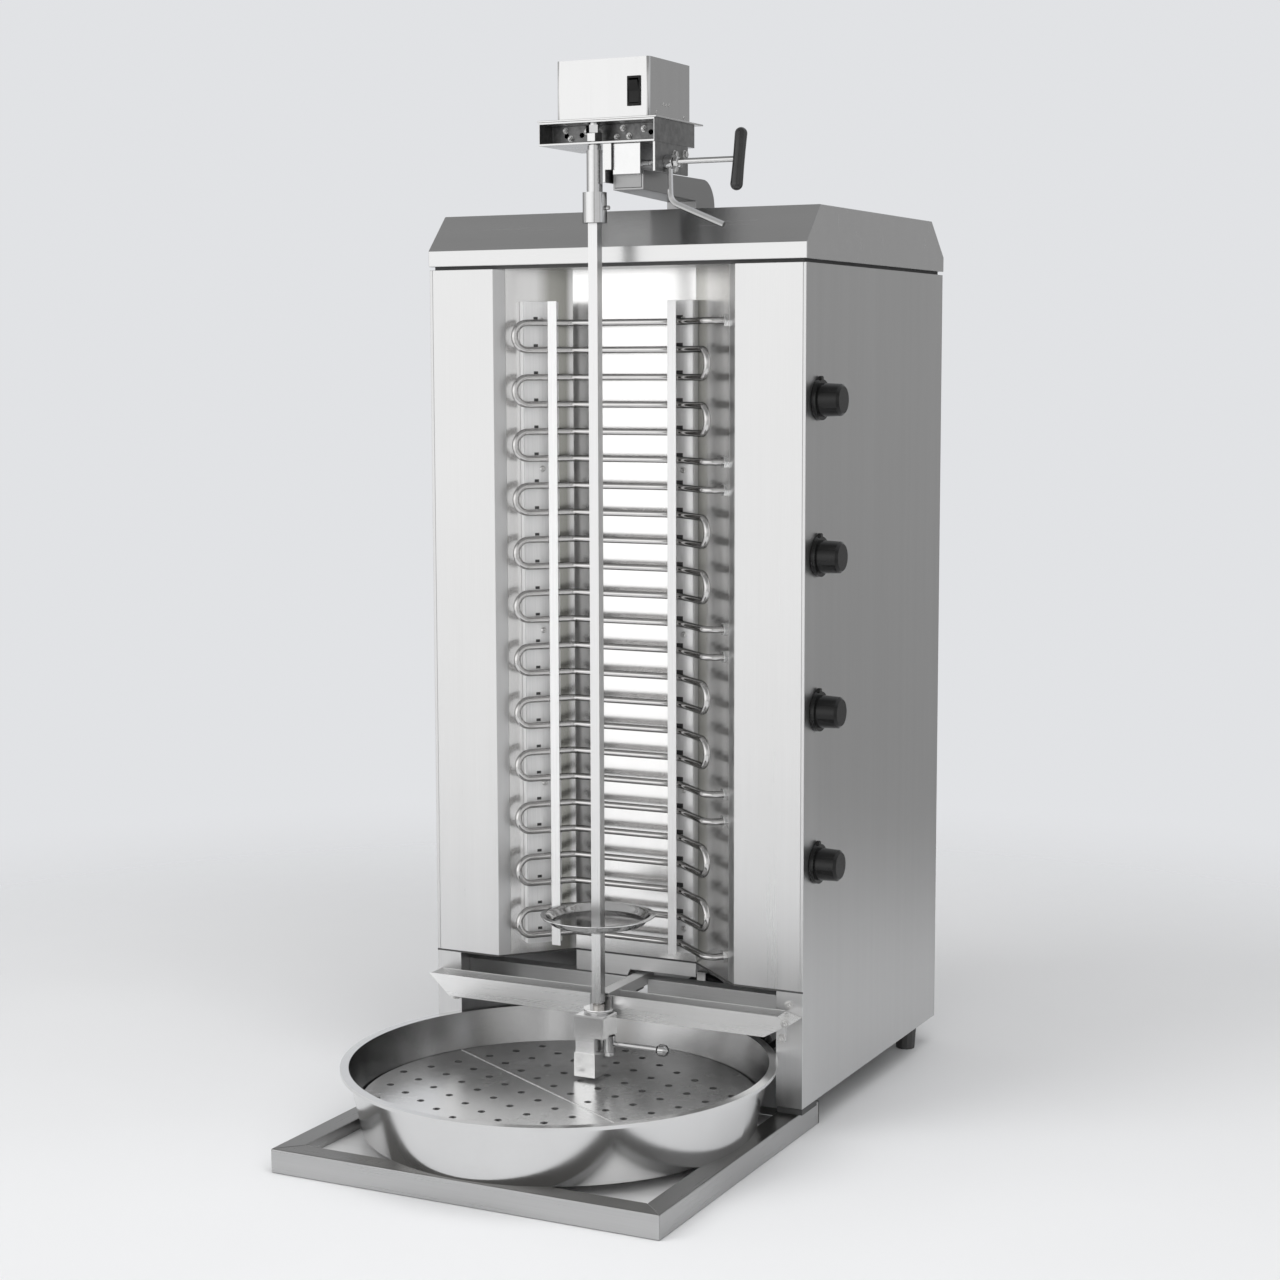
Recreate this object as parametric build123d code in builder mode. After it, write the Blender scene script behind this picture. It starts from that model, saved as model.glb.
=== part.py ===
"""Electric doner kebab grill: a sheet-steel cabinet with a folded heater recess, a hung spit drive,
a sliding lower bearing, a fat pan and a tube base. Millimetres, +Z up, the origin on the floor
under the middle of the cabinet's front."""
from build123d import *
from math import cos, hypot, pi, radians, sin, tan
import os

os.makedirs("parts", exist_ok=True)

# Sheet, clearances and fasteners
sheet = 1.2
heavy_sheet = 2.5
seat_gap = 0.3
slide_gap = 0.2
running = 0.05

# Cabinet
half_width = 250
depth = 464
leg_foot_z = 35
floor_z = 176
panel_top_z = 1027
lip_z = 1031
leg_return = 34
hem = 10
panel_hem = 4

# Heater recess
mouth_half = 161
recess_depth = 77
back_left = -92
back_right = 75

# Cap
cap_over = 1
lip_top_z = 1050
cap_top_z = 1094
front_slope = 40
rear_slope = 46

# Base frame
tube = 28
tube_wall = 1.5
base_half = half_width - 4.5
base_front = -376
base_rear = 62
pad_depth = 45
foot_radius = 15
foot_inset = 24
foot_y = depth - 46

# Pan and its insert
pan_y = -140
pan_radius = 232
pan_wall_radius = 247
rim_width = 9
rim_drop = 3
pan_height = 73
insert_radius = 234
insert_z = 57
insert_hem = 8
split_angle = -30
split_gap = 1
drain_radius = 3
drain_pitch = 38
drain_rows = 5
first_row_front = 30
first_row_rear = 15

# Gutter in front of the legs
gutter_front = -30
gutter_top_z = 153
gutter_bottom_z = 126
gutter_left = 4 - half_width
gutter_left_foot = 34 - half_width
gutter_right_foot = half_width - 37
gutter_right = half_width - 1
gutter_right_top = half_width - 22
gutter_corner_drop = 6.5
lug_x = half_width - 26
lug_width = 10
lug_height = 22

# Lower arm and its slide bar
arm_half = 8
arm_wall = 1.5
arm_bottom_z = 141
arm_top_z = 155
arm_rear = 98
rail_depth = 23
rail_bottom_z = 129
rail_top_z = 148
bar_rear = 95

# Spit and its drive
spit_x = 3
spit_y = -46
spit_side = 12
spit_bottom_z = 147.5
spit_top_z = 1105
pin_radius = 4
disc_radius = 69
disc_z = 246
disc_rim = 8.5
disc_hub_radius = 13
disc_hub = 12
collar_bottom_z = 1158
collar_top_z = 1163.5
output_radius = 6
shaft_nut_radius = 9.8
shaft_nut = 9
sleeve_radius = 9.2
coupling_radius = 14
coupling_under = 30
coupling_length = 35
coupling_pin_under = 13

# Bearing block
block_half = 20
block_front = -72
block_rear = -36
block_bottom_z = 110
block_top_z = 136
collar_radius = 18
collar_height = 3
neck_radius = 13
neck_height = 2
step_z = 90
lower_left = -20
lower_right = 8
lower_bottom_z = 61
back_plate = 4.5
hub_x = 16.2
hub_y = -50
hub_radius = 7.5
stud_radius = 3
stud_length = 21
lever_z = 100
lever_reach = 85
ball_radius = 7

# Heaters
heater_count = 4
passes = 6
heater_radius = 4
first_pass_z = 205.5
pass_pitch = 32.9
stand_off = 24.5
left_reach = 73.4
right_reach = 81.6
elbow = 14
terminal_length = 22

# Heater supports
support_bottom_z = 192
support_top_z = 988
web_left_x = -98
web_left_front = 26
lip_left_width = 11
flange_left_y = 50.6
flange_left_width = 45
web_right_x = 53
web_right_front = 43
lip_right_width = 11.5
flange_right_y = 61
flange_right_width = 26
slot_height = 9
support_screw_z = (222, 395, 586, 785, 965)

# Regulators and knobs
knob_y = 38
knob_first_z = 324.3
knob_pitch = 182
knob_flange_radius = 24
knob_flange = 5
knob_body_radius = 19.5
knob_length = 31
knob_gap = 0.6
shaft_radius = 3
regulator_size = 42
regulator_depth = 30

# Support arm on the cap
arm_left_x = 25
arm_right_x = 64
arm_nose_y = -42
arm_foot_y = 101
arm_end_y = 155
arm_under_z = 1112
arm_heel_z = 1107
arm_side_z = 1134

# Slide block and saddle
block_left_x = 30
block_right_x = 65
slide_front = -52
slide_rear = 30
saddle_right_x = 86
saddle_wall = 3
saddle_left_x = 19
saddle_left_bottom_z = 1120
saddle_bottom_z = 1131
saddle_front = -56
saddle_rear = 32

# Motor head
tray_left = -64
tray_right = 86
tray_front = -58
tray_rear = 50
tray_bottom_z = 1164.5
tray_height = 27
tray_web_y = -26
top_plate = 2
top_plate_rear = 70
top_plate_over = 2
end_plate = 1.2
tray_hole_inset = 20
cover_left = -52
cover_right = 69
cover_front = -36
cover_rear = 75
cover_height = 69.5
cover_round = 4
gearbox = (80, 84, 26)
motor_radius = 26
motor_height = 34

# Rocker switch
switch_x = 49.5
switch_z = tray_bottom_z + tray_height + top_plate + 31
switch_width = 17
switch_height = 34
pocket_width = 12.8
pocket_height = 28
rocker_tilt = 8
rocker_pin_radius = 1.2
rocker_pin_reach = 0.6
rocker_in = 2

# Clamp screw and bent lever
clamp_y = -28
clamp_z = 1143
clamp_radius = 3.25
clamp_reach = 178
grip_radius = 7.25
grip_length = 73
grip_end = 3
grip_tilt = 12
hub_length = 10
bent_hub_radius = 8
bent_radius = 3.5

# Supply cord
cord_diameter = 9.2
gland_x = 165
gland_y = 150


def save(builder, label):
    """Names a finished sub-part and writes its STEP file."""
    builder.part.label = label
    export_step(builder.part, f"parts/{label}.step")


def folded(points, thickness):
    """Outline of a folded sheet: the points run along one face, the metal lies to their left."""
    sides = []
    for (x0, y0), (x1, y1) in zip(points, points[1:]):
        length = hypot(x1 - x0, y1 - y0)
        sides.append(((y0 - y1) / length, (x1 - x0) / length))
    sides = [sides[0]] + sides + [sides[-1]]
    far = []
    for (x, y), before, after in zip(points, sides, sides[1:]):
        share = thickness / (1 + before[0] * after[0] + before[1] * after[1])
        far.append((x + (before[0] + after[0]) * share, y + (before[1] + after[1]) * share))
    return points + far[::-1]


def along(start, end, distance):
    """Point at a distance from start towards end, in plan."""
    length = hypot(end[0] - start[0], end[1] - start[1])
    share = distance / length
    return (start[0] + (end[0] - start[0]) * share, start[1] + (end[1] - start[1]) * share)


# Base frame: mitred square tubes, the cross tube stands under the origin
with BuildPart() as front_tube:
    with BuildSketch():
        Polygon((-base_half, base_front), (base_half, base_front),
                (base_half - tube, base_front + tube), (tube - base_half, base_front + tube), align=None)
    extrude(amount=tube)
    inner = tube - tube_wall
    with BuildSketch(Plane.XY.offset(tube_wall)):
        Polygon((tube_wall - base_half, base_front + tube_wall),
                (base_half - tube_wall, base_front + tube_wall),
                (base_half - inner, base_front + inner), (inner - base_half, base_front + inner), align=None)
    extrude(amount=tube - 2 * tube_wall, mode=Mode.SUBTRACT)
save(front_tube, "base_front_tube")

with BuildPart() as side_tubes:
    with BuildSketch():
        Polygon((base_half, base_front), (base_half, base_rear),
                (base_half - tube, base_rear), (base_half - tube, base_front + tube), align=None)
    extrude(amount=tube)
    with BuildSketch(Plane.XY.offset(tube_wall)):
        Polygon((base_half - tube_wall, base_front + tube_wall), (base_half - tube_wall, base_rear),
                (base_half - inner, base_rear), (base_half - inner, base_front + inner), align=None)
    extrude(amount=tube - 2 * tube_wall, mode=Mode.SUBTRACT)
    mirror(about=Plane.YZ)
save(side_tubes, "base_side_tubes")

with BuildPart() as cross_tube:
    with BuildSketch(Plane.YZ):
        Rectangle(tube, tube, align=(Align.CENTER, Align.MIN))
        with Locations((0, tube_wall)):
            Rectangle(tube - 2 * tube_wall, tube - 2 * tube_wall, align=(Align.CENTER, Align.MIN),
                      mode=Mode.SUBTRACT)
    extrude(amount=base_half - tube, both=True)
save(cross_tube, "base_cross_tube")

with BuildPart() as floor_plate:
    plate_top_z = tube / 2
    with Locations((0, (base_front + tube - tube / 2) / 2, plate_top_z - sheet)):
        Box(2 * (base_half - tube), -base_front - tube - tube / 2, sheet,
            align=(Align.CENTER, Align.CENTER, Align.MIN))
save(floor_plate, "base_floor_plate")

with BuildPart() as tube_caps:
    with BuildSketch(Plane.XZ.offset(-base_rear)):
        with Locations((base_half - tube / 2, tube / 2)):
            Rectangle(tube, tube)
    extrude(amount=-2)
    with BuildSketch(Plane.XZ.offset(-base_rear)):
        with Locations((base_half - tube / 2, tube / 2)):
            Rectangle(tube - 2 * tube_wall, tube - 2 * tube_wall)
            Rectangle(tube - 6 * tube_wall, tube - 6 * tube_wall, mode=Mode.SUBTRACT)
    extrude(amount=tube / 2)
    mirror(about=Plane.YZ)
save(tube_caps, "base_tube_caps")

with BuildPart() as leg_pads:
    with Locations((base_half - tube, 0, tube)):
        Box(half_width - base_half + tube, pad_depth, leg_foot_z - tube, align=Align.MIN)
    mirror(about=Plane.YZ)
save(leg_pads, "leg_pads")

# Rear feet: tapered rubber under the plates in the rear corners
with BuildPart() as rear_feet:
    with BuildSketch(Plane.XY.offset(leg_foot_z)):
        with Locations((half_width - foot_inset, foot_y)):
            RegularPolygon(foot_radius, 12)
    extrude(amount=-leg_foot_z, taper=4)
    mirror(about=Plane.YZ)
save(rear_feet, "rear_feet")

# Side panels: folded at the front, a foot plate at the rear, knob holes on the right only
def side_panel(label, with_knobs):
    with BuildPart() as panel:
        with BuildSketch(Plane.XY.offset(floor_z)):
            Polygon(*folded([(half_width, depth - sheet), (half_width, 0), (half_width - panel_hem, 0)],
                            -sheet),
                    align=None)
        extrude(amount=panel_top_z - floor_z)
        with BuildSketch(Plane.XY.offset(leg_foot_z)):
            Polygon(*folded([(half_width, depth - sheet), (half_width, 0), (half_width - leg_return, 0)],
                            -sheet), align=None)
        extrude(amount=floor_z - leg_foot_z)
        plate_in = half_width - 2 * foot_inset
        with BuildSketch(Plane.XY.offset(leg_foot_z)):
            Polygon((half_width - sheet / 2, foot_y - foot_inset), (half_width - sheet / 2, depth - sheet),
                    (plate_in, depth - sheet), (plate_in, foot_y - foot_inset), align=None)
        extrude(amount=heavy_sheet)
        if with_knobs:
            for index in range(heater_count):
                with BuildSketch(Plane.YZ.offset(half_width - sheet)):
                    with Locations((knob_y, knob_first_z + index * knob_pitch)):
                        RegularPolygon(shaft_radius + 2, 8)
                extrude(amount=sheet, mode=Mode.SUBTRACT)
        else:
            mirror(about=Plane.YZ, mode=Mode.REPLACE)
    save(panel, label)


side_panel("side_panel_right", True)
side_panel("side_panel_left", False)


# Reflectors: the visible faces meet the mouth and the back folds
left_mouth = (-mouth_half, 0)
right_mouth = (mouth_half, 0)
left_fold = (back_left, recess_depth)
right_fold = (back_right, recess_depth)
left_hem = along(left_mouth, left_fold, hem + 6)
right_hem = along(right_mouth, right_fold, hem + 6)


def front_panel(label, mouth, hem_end, outer, metal):
    """Front panel with its outer edge hemmed and its inner edge folded along the reflector."""
    with BuildPart() as panel:
        with BuildSketch(Plane.XY.offset(floor_z)):
            Polygon(*folded([hem_end, mouth, (outer, 0), (outer, hem)], metal), align=None)
        extrude(amount=panel_top_z - floor_z)
    save(panel, label)


front_panel("front_panel_right", right_mouth, right_hem, half_width - panel_hem, sheet)
front_panel("front_panel_left", left_mouth, left_hem, panel_hem - half_width, -sheet)
reflector_bottom_z = floor_z + sheet
reflector_height = panel_top_z - reflector_bottom_z

leg_direction = (right_fold[1] - right_mouth[1], right_mouth[0] - right_fold[0])
leg_length = hypot(*leg_direction)
into_right = (leg_direction[0] / leg_length, leg_direction[1] / leg_length)


def inset_line(start, end, distance):
    """The line from start to end moved sideways into the recess."""
    length = hypot(end[0] - start[0], end[1] - start[1])
    side = ((end[1] - start[1]) / length * distance, (start[0] - end[0]) / length * distance)
    return ((start[0] + side[0], start[1] + side[1]), (end[0] + side[0], end[1] + side[1]))


def crossing(line_y, line):
    """Where a plan line meets the height line_y."""
    (x0, y0), (x1, y1) = line
    share = (line_y - y0) / (y1 - y0)
    return (x0 + (x1 - x0) * share, line_y)


middle_y = recess_depth - stand_off
left_corner = crossing(middle_y, inset_line(left_mouth, left_fold, stand_off))
right_corner = crossing(middle_y, inset_line(right_fold, right_mouth, stand_off))
left_tip = along(left_corner, (left_corner[0] - left_fold[0] + left_mouth[0],
                               left_corner[1] - left_fold[1] + left_mouth[1]), left_reach)
right_tip = along(right_corner, (right_corner[0] - right_fold[0] + right_mouth[0],
                                 right_corner[1] - right_fold[1] + right_mouth[1]), right_reach)
terminal_end = (right_tip[0] + into_right[0] * (stand_off + terminal_length),
                right_tip[1] + into_right[1] * (stand_off + terminal_length))
through = (right_tip[0] + into_right[0] * stand_off, right_tip[1] + into_right[1] * stand_off)


def pass_z(index):
    """Height of one heater pass, counted from the bottom."""
    return first_pass_z + index * pass_pitch


with BuildPart() as reflector:
    with BuildSketch(Plane.XY.offset(reflector_bottom_z)):
        Polygon(*folded([left_hem, left_fold, right_fold, right_hem], sheet), align=None)
    extrude(amount=reflector_height)
    for index in range(heater_count):
        for end in (0, passes - 1):
            spot = Plane((through[0], through[1], pass_z(index * passes + end)), z_dir=(*into_right, 0))
            with BuildSketch(spot):
                RegularPolygon(heater_radius + 1, 8)
            extrude(amount=2 * sheet, both=True, mode=Mode.SUBTRACT)
save(reflector, "reflector")

# Casing floor with the recess cut out of its front
with BuildPart() as casing_floor:
    with BuildSketch(Plane.XY.offset(floor_z)):
        floor_front = 2 * hem
        Polygon(crossing(floor_front, (right_mouth, right_fold)), right_fold, left_fold,
                crossing(floor_front, (left_mouth, left_fold)),
                (sheet - half_width, floor_front), (sheet - half_width, depth - sheet),
                (half_width - sheet, depth - sheet), (half_width - sheet, floor_front), align=None)
    extrude(amount=sheet)
    with Locations((gland_x, gland_y, floor_z)):
        Cylinder(9, 4 * sheet, mode=Mode.SUBTRACT)
save(casing_floor, "casing_floor")

# Rear panel with slots for the cooling air
with BuildPart() as rear_panel:
    with Locations((0, depth, leg_foot_z)):
        Box(2 * half_width, sheet, panel_top_z - leg_foot_z, align=(Align.CENTER, Align.MAX, Align.MIN))
    for group_z in (330, 880):
        for group_x in (-130, 130):
            with BuildSketch(Plane.XZ.offset(-depth)):
                with Locations((group_x, group_z)):
                    with GridLocations(0, 14, 1, 6):
                        Rectangle(80, 5)
            extrude(amount=sheet, mode=Mode.SUBTRACT)
save(rear_panel, "rear_panel")

# Deck that closes the cabinet under the cap
with BuildPart() as deck:
    deck_inset = 5
    with Locations((0, deck_inset, panel_top_z)):
        Box(2 * (half_width - deck_inset), depth - 2 * deck_inset, lip_z - panel_top_z,
            align=(Align.CENTER, Align.MIN, Align.MIN))
    with Locations((0, deck_inset + 2 * hem + recess_depth, panel_top_z)):
        Box(2 * (half_width - deck_inset - hem), depth - 2 * deck_inset - 4 * hem - recess_depth,
            lip_z - panel_top_z - sheet, align=(Align.CENTER, Align.MIN, Align.MIN), mode=Mode.SUBTRACT)
save(deck, "cabinet_deck")

# Cap: folded sheet with sloped front and rear over a square lip
with BuildPart() as cap:
    with BuildSketch(Plane.YZ.offset(-half_width - cap_over)):
        Polygon((-cap_over, lip_z), (-cap_over, lip_top_z), (front_slope, cap_top_z),
                (depth - rear_slope, cap_top_z), (depth + cap_over, lip_top_z), (depth + cap_over, lip_z),
                align=None)
    extrude(amount=2 * (half_width + cap_over))
    with BuildSketch(Plane.YZ.offset(sheet - half_width - cap_over)):
        Polygon((sheet - cap_over, lip_z + sheet), (sheet - cap_over, lip_top_z - sheet / 2),
                (front_slope + sheet / 2, cap_top_z - sheet),
                (depth - rear_slope - sheet / 2, cap_top_z - sheet),
                (depth + cap_over - sheet, lip_top_z - sheet / 2), (depth + cap_over - sheet, lip_z + sheet),
                align=None)
    extrude(amount=2 * (half_width + cap_over - sheet), mode=Mode.SUBTRACT)
    with Locations((0, depth / 2, lip_z)):
        Box(2 * half_width - 4 * hem, depth - 4 * hem, 3 * sheet, mode=Mode.SUBTRACT)
save(cap, "cap")

# Apron under the recess, hung from the casing floor
with BuildPart() as apron:
    with BuildSketch(Plane.XZ.offset(-recess_depth)):
        Polygon((back_left, floor_z), (back_right, floor_z), (back_right, arm_top_z + 3),
                (-2 * arm_half, arm_top_z + 3), (-2.5 * arm_half, rail_top_z + 2),
                (back_left, rail_top_z + 2),
                align=None)
    extrude(amount=-sheet)
    with Locations((back_left, recess_depth, floor_z)):
        Box(back_right - back_left, 18, sheet, align=(Align.MIN, Align.MIN, Align.MAX))
save(apron, "apron")

# Rail in two lengths, from each leg to the lower arm between them
with BuildPart() as rail:
    with BuildSketch(Plane.YZ.offset(sheet - half_width)):
        with Locations((recess_depth, rail_bottom_z)):
            Rectangle(rail_depth, rail_top_z - rail_bottom_z, align=Align.MIN)
        with Locations((recess_depth + tube_wall, rail_bottom_z + tube_wall)):
            Rectangle(rail_depth - 2 * tube_wall, rail_top_z - rail_bottom_z - 2 * tube_wall,
                      align=Align.MIN, mode=Mode.SUBTRACT)
    extrude(amount=half_width - sheet - arm_half)
    mirror(about=Plane.YZ)
save(rail, "cross_rail")

# Lower arm: a square tube from the gutter to the rail
arm_nose = gutter_front + sheet
with BuildPart() as lower_arm:
    with Locations((0, arm_nose, arm_bottom_z)):
        Box(2 * arm_half, arm_rear - arm_nose, arm_top_z - arm_bottom_z,
            align=(Align.CENTER, Align.MIN, Align.MIN))
        with Locations((0, 0, arm_wall)):
            Box(2 * (arm_half - arm_wall), arm_rear - arm_nose, arm_top_z - arm_bottom_z - 2 * arm_wall,
                align=(Align.CENTER, Align.MIN, Align.MIN), mode=Mode.SUBTRACT)
save(lower_arm, "lower_arm")

# Gutter with slanted ends across the front of the legs
with BuildPart() as gutter:
    with BuildSketch(Plane.XZ.offset(-gutter_front)):
        Polygon((gutter_left_foot, gutter_bottom_z), (gutter_right_foot, gutter_bottom_z),
                (gutter_right, gutter_top_z - gutter_corner_drop), (gutter_right_top, gutter_top_z),
                (gutter_left, gutter_top_z), align=None)
    extrude(amount=gutter_front)
    with BuildSketch(Plane.XZ.offset(-gutter_front - sheet)):
        Polygon((gutter_left_foot + sheet, gutter_bottom_z + sheet),
                (gutter_right_foot - sheet, gutter_bottom_z + sheet),
                (gutter_right - 3 * sheet, gutter_top_z - gutter_corner_drop),
                (gutter_right_top - 2 * sheet, gutter_top_z + 1),
                (gutter_left + 2 * sheet, gutter_top_z + 1),
                align=None)
    extrude(amount=gutter_front + 2 * sheet, mode=Mode.SUBTRACT)
    with Locations((0, gutter_front, arm_bottom_z + arm_wall - slide_gap)):
        Box(2 * (arm_half - arm_wall), 3 * sheet, 20, align=(Align.CENTER, Align.CENTER, Align.MIN),
            mode=Mode.SUBTRACT)
    with Locations((0, 0, arm_bottom_z)):
        Box(2 * arm_half, 3 * sheet, 20, align=(Align.CENTER, Align.CENTER, Align.MIN), mode=Mode.SUBTRACT)
    with BuildSketch(Plane.XZ):
        with Locations((-lug_x, gutter_bottom_z), (lug_x, gutter_bottom_z)):
            Rectangle(lug_width, lug_height)
    extrude(amount=3)
save(gutter, "gutter")

# Heaters: one tube each, six passes, both ends turned through the right reflector
def heater_route(number):
    """Corner points of one heater and the radius of each bend."""
    points = [(*terminal_end, pass_z(number * passes))]
    for index in range(passes):
        across = [right_tip, right_corner, left_corner, left_tip]
        if index % 2:
            across.reverse()
        points += [(*point, pass_z(number * passes + index)) for point in across]
    points.append((*terminal_end, points[-1][2]))
    bend = pass_pitch / 2 - 0.1
    radii = [bend, elbow, elbow, bend] * passes
    radii[0] = elbow
    radii[-1] = elbow
    return points, radii


with BuildPart() as heaters:
    for number in range(heater_count):
        points, radii = heater_route(number)
        with BuildLine() as route:
            FilletPolyline(*points, radius=radii)
        with BuildSketch(Plane(route.line @ 0, z_dir=route.line % 0)) as section:
            RegularPolygon(heater_radius, 6)
        sweep(section.sketch, path=route.line)
save(heaters, "heaters")

with BuildPart() as terminals:
    for index in range(heater_count):
        for end in (0, passes - 1):
            spot = Plane((through[0], through[1], pass_z(index * passes + end)), z_dir=(*into_right, 0))
            with BuildSketch(spot.offset(-5)):
                RegularPolygon(heater_radius + 4, 6)
                RegularPolygon(heater_radius, 6, mode=Mode.SUBTRACT)
            extrude(amount=5)
save(terminals, "heater_nuts")

# Heater supports: folded strips on spacers; each heater pass has its own window behind the front lip
with BuildPart() as support_left:
    fold = (web_left_x, flange_left_y)
    toward = (web_left_x - left_fold[0] + left_mouth[0], flange_left_y - left_fold[1] + left_mouth[1])
    with BuildSketch(Plane.XY.offset(support_bottom_z)):
        Polygon(*folded([(web_left_x + lip_left_width, web_left_front), (web_left_x, web_left_front), fold,
                         along(fold, toward, flange_left_width)], sheet), align=None)
    extrude(amount=support_top_z - support_bottom_z)
    cross_y = left_corner[1] + (web_left_x - left_corner[0]) * (left_fold[1] - left_mouth[1]) / (
        left_fold[0] - left_mouth[0])
    with BuildSketch(Plane.YZ.offset(web_left_x - 2 * sheet)):
        for index in range(heater_count * passes):
            with Locations((web_left_front, pass_z(index))):
                Rectangle(cross_y - web_left_front + 8, slot_height, align=(Align.MIN, Align.CENTER))
    extrude(amount=3 * sheet, mode=Mode.SUBTRACT)
save(support_left, "heater_support_left")

with BuildPart() as support_right:
    with BuildSketch(Plane.XY.offset(support_bottom_z)):
        Polygon(*folded([(web_right_x + lip_right_width, web_right_front), (web_right_x, web_right_front),
                         (web_right_x, flange_right_y), (web_right_x + flange_right_width, flange_right_y)],
                        -sheet), align=None)
    extrude(amount=support_top_z - support_bottom_z)
    with BuildSketch(Plane.YZ.offset(web_right_x - sheet)):
        for index in range(heater_count * passes):
            with Locations((web_right_front + sheet, pass_z(index))):
                Rectangle(middle_y - web_right_front - sheet + heater_radius + seat_gap, slot_height,
                          align=(Align.MIN, Align.CENTER))
    extrude(amount=3 * sheet, mode=Mode.SUBTRACT)
save(support_right, "heater_support_right")

flange_middle = along(fold, toward, flange_left_width / 2)
away_left = inset_line(left_mouth, left_fold, 1)[0]
into_left = (left_mouth[0] - away_left[0], left_mouth[1] - away_left[1])
distance_left = ((left_fold[0] - flange_middle[0]) * into_left[0]
                 + (left_fold[1] - flange_middle[1]) * into_left[1])
spacer_x = web_right_x + flange_right_width / 2

with BuildPart() as spacers:
    for z in support_screw_z:
        with BuildSketch(Plane((*flange_middle, z), z_dir=(*into_left, 0))):
            RegularPolygon(4, 6)
        extrude(amount=distance_left)
        with BuildSketch(Plane((spacer_x, flange_right_y, z), z_dir=(0, 1, 0))):
            RegularPolygon(4, 6)
        extrude(amount=recess_depth - flange_right_y)
save(spacers, "support_spacers")

# Regulators behind the right side panel, each turned by its own knob
with BuildPart() as regulators:
    for index in range(heater_count):
        z = knob_first_z + index * knob_pitch
        with Locations((half_width - sheet, knob_y, z)):
            Box(regulator_depth, regulator_size, regulator_size,
                align=(Align.MAX, Align.CENTER, Align.CENTER))
        with BuildSketch(Plane.YZ.offset(half_width - sheet)):
            with Locations((knob_y, z)):
                RegularPolygon(shaft_radius + seat_gap, 8, major_radius=False)
        extrude(amount=-regulator_depth / 2, mode=Mode.SUBTRACT)
save(regulators, "regulators")


def knob(label, z):
    """Round knob with its flange, turned about its own stem."""
    face_x = half_width + knob_gap
    stem_x = half_width - sheet - regulator_depth / 2 + seat_gap
    with BuildPart() as turned:
        with BuildSketch(Plane((0, knob_y, z), x_dir=(1, 0, 0), z_dir=(0, -1, 0))):
            with BuildLine():
                Polyline((stem_x, 0), (stem_x, shaft_radius), (face_x, shaft_radius),
                         (face_x, knob_flange_radius), (face_x + knob_flange, knob_flange_radius - 0.5),
                         (face_x + knob_flange, knob_body_radius),
                         (face_x + knob_length - 3, knob_body_radius - 1),
                         (face_x + knob_length, knob_body_radius - 4), (face_x + knob_length, 0),
                         close=True)
            make_face()
        revolve(axis=Axis((0, knob_y, z), (1, 0, 0)))
    save(turned, label)


for index in range(heater_count):
    knob(f"knob_{index + 1}", knob_first_z + index * knob_pitch)

# Pan, revolved from its folded section
pan_axis = Axis((0, pan_y, 0), (0, 0, 1))
pan_plane = Plane((0, pan_y, 0), x_dir=(1, 0, 0), z_dir=(0, -1, 0))
rim_z = tube + pan_height
with BuildPart() as pan:
    with BuildSketch(pan_plane):
        Polygon(*folded([(0, tube), (pan_radius, tube), (pan_wall_radius, rim_z - sheet),
                         (pan_wall_radius + rim_width - sheet, rim_z - sheet),
                         (pan_wall_radius + rim_width - sheet, rim_z - sheet - rim_drop)], sheet),
                         align=None)
    revolve(axis=pan_axis)
save(pan, "pan")


def insert_half(label, front):
    """Half of the perforated insert, hemmed all round, on three short feet."""
    side = Align.MAX if front else Align.MIN
    sign = -1 if front else 1
    first_row = first_row_front if front else first_row_rear
    turned = Plane((0, pan_y, 0), x_dir=(cos(radians(split_angle)), sin(radians(split_angle)), 0),
                   z_dir=(0, 0, 1))
    with BuildPart() as half:
        with BuildSketch(turned.offset(insert_z - insert_hem)):
            Circle(insert_radius)
            with Locations((0, sign * split_gap / 2)):
                Rectangle(2 * insert_radius, insert_radius, align=(Align.CENTER, side), mode=Mode.INTERSECT)
        extrude(amount=insert_hem)
        with BuildSketch(turned.offset(insert_z - insert_hem)):
            Circle(insert_radius - sheet)
            with Locations((0, sign * (split_gap / 2 + sheet))):
                Rectangle(2 * insert_radius, insert_radius, align=(Align.CENTER, side), mode=Mode.INTERSECT)
        extrude(amount=insert_hem - sheet, mode=Mode.SUBTRACT)
        with BuildSketch(turned.offset(insert_z - sheet)):
            for row in range(drain_rows):
                row_y = first_row + drain_pitch * row
                reach = ((insert_radius - 16) ** 2 - row_y ** 2) ** 0.5
                columns = 2 * int(reach // drain_pitch) + 1
                with Locations((0, sign * row_y)):
                    with GridLocations(drain_pitch, 1, columns, 1):
                        RegularPolygon(drain_radius, 6)
        extrude(amount=sheet, mode=Mode.SUBTRACT)
        with BuildSketch(turned.offset(tube + sheet)):
            with Locations((-170, sign * 30), (170, sign * 30), (0, sign * 200)):
                RegularPolygon(6, 6)
        extrude(amount=insert_z - sheet - tube - sheet)
    save(half, label)


insert_half("insert_front", True)
insert_half("insert_rear", False)

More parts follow.
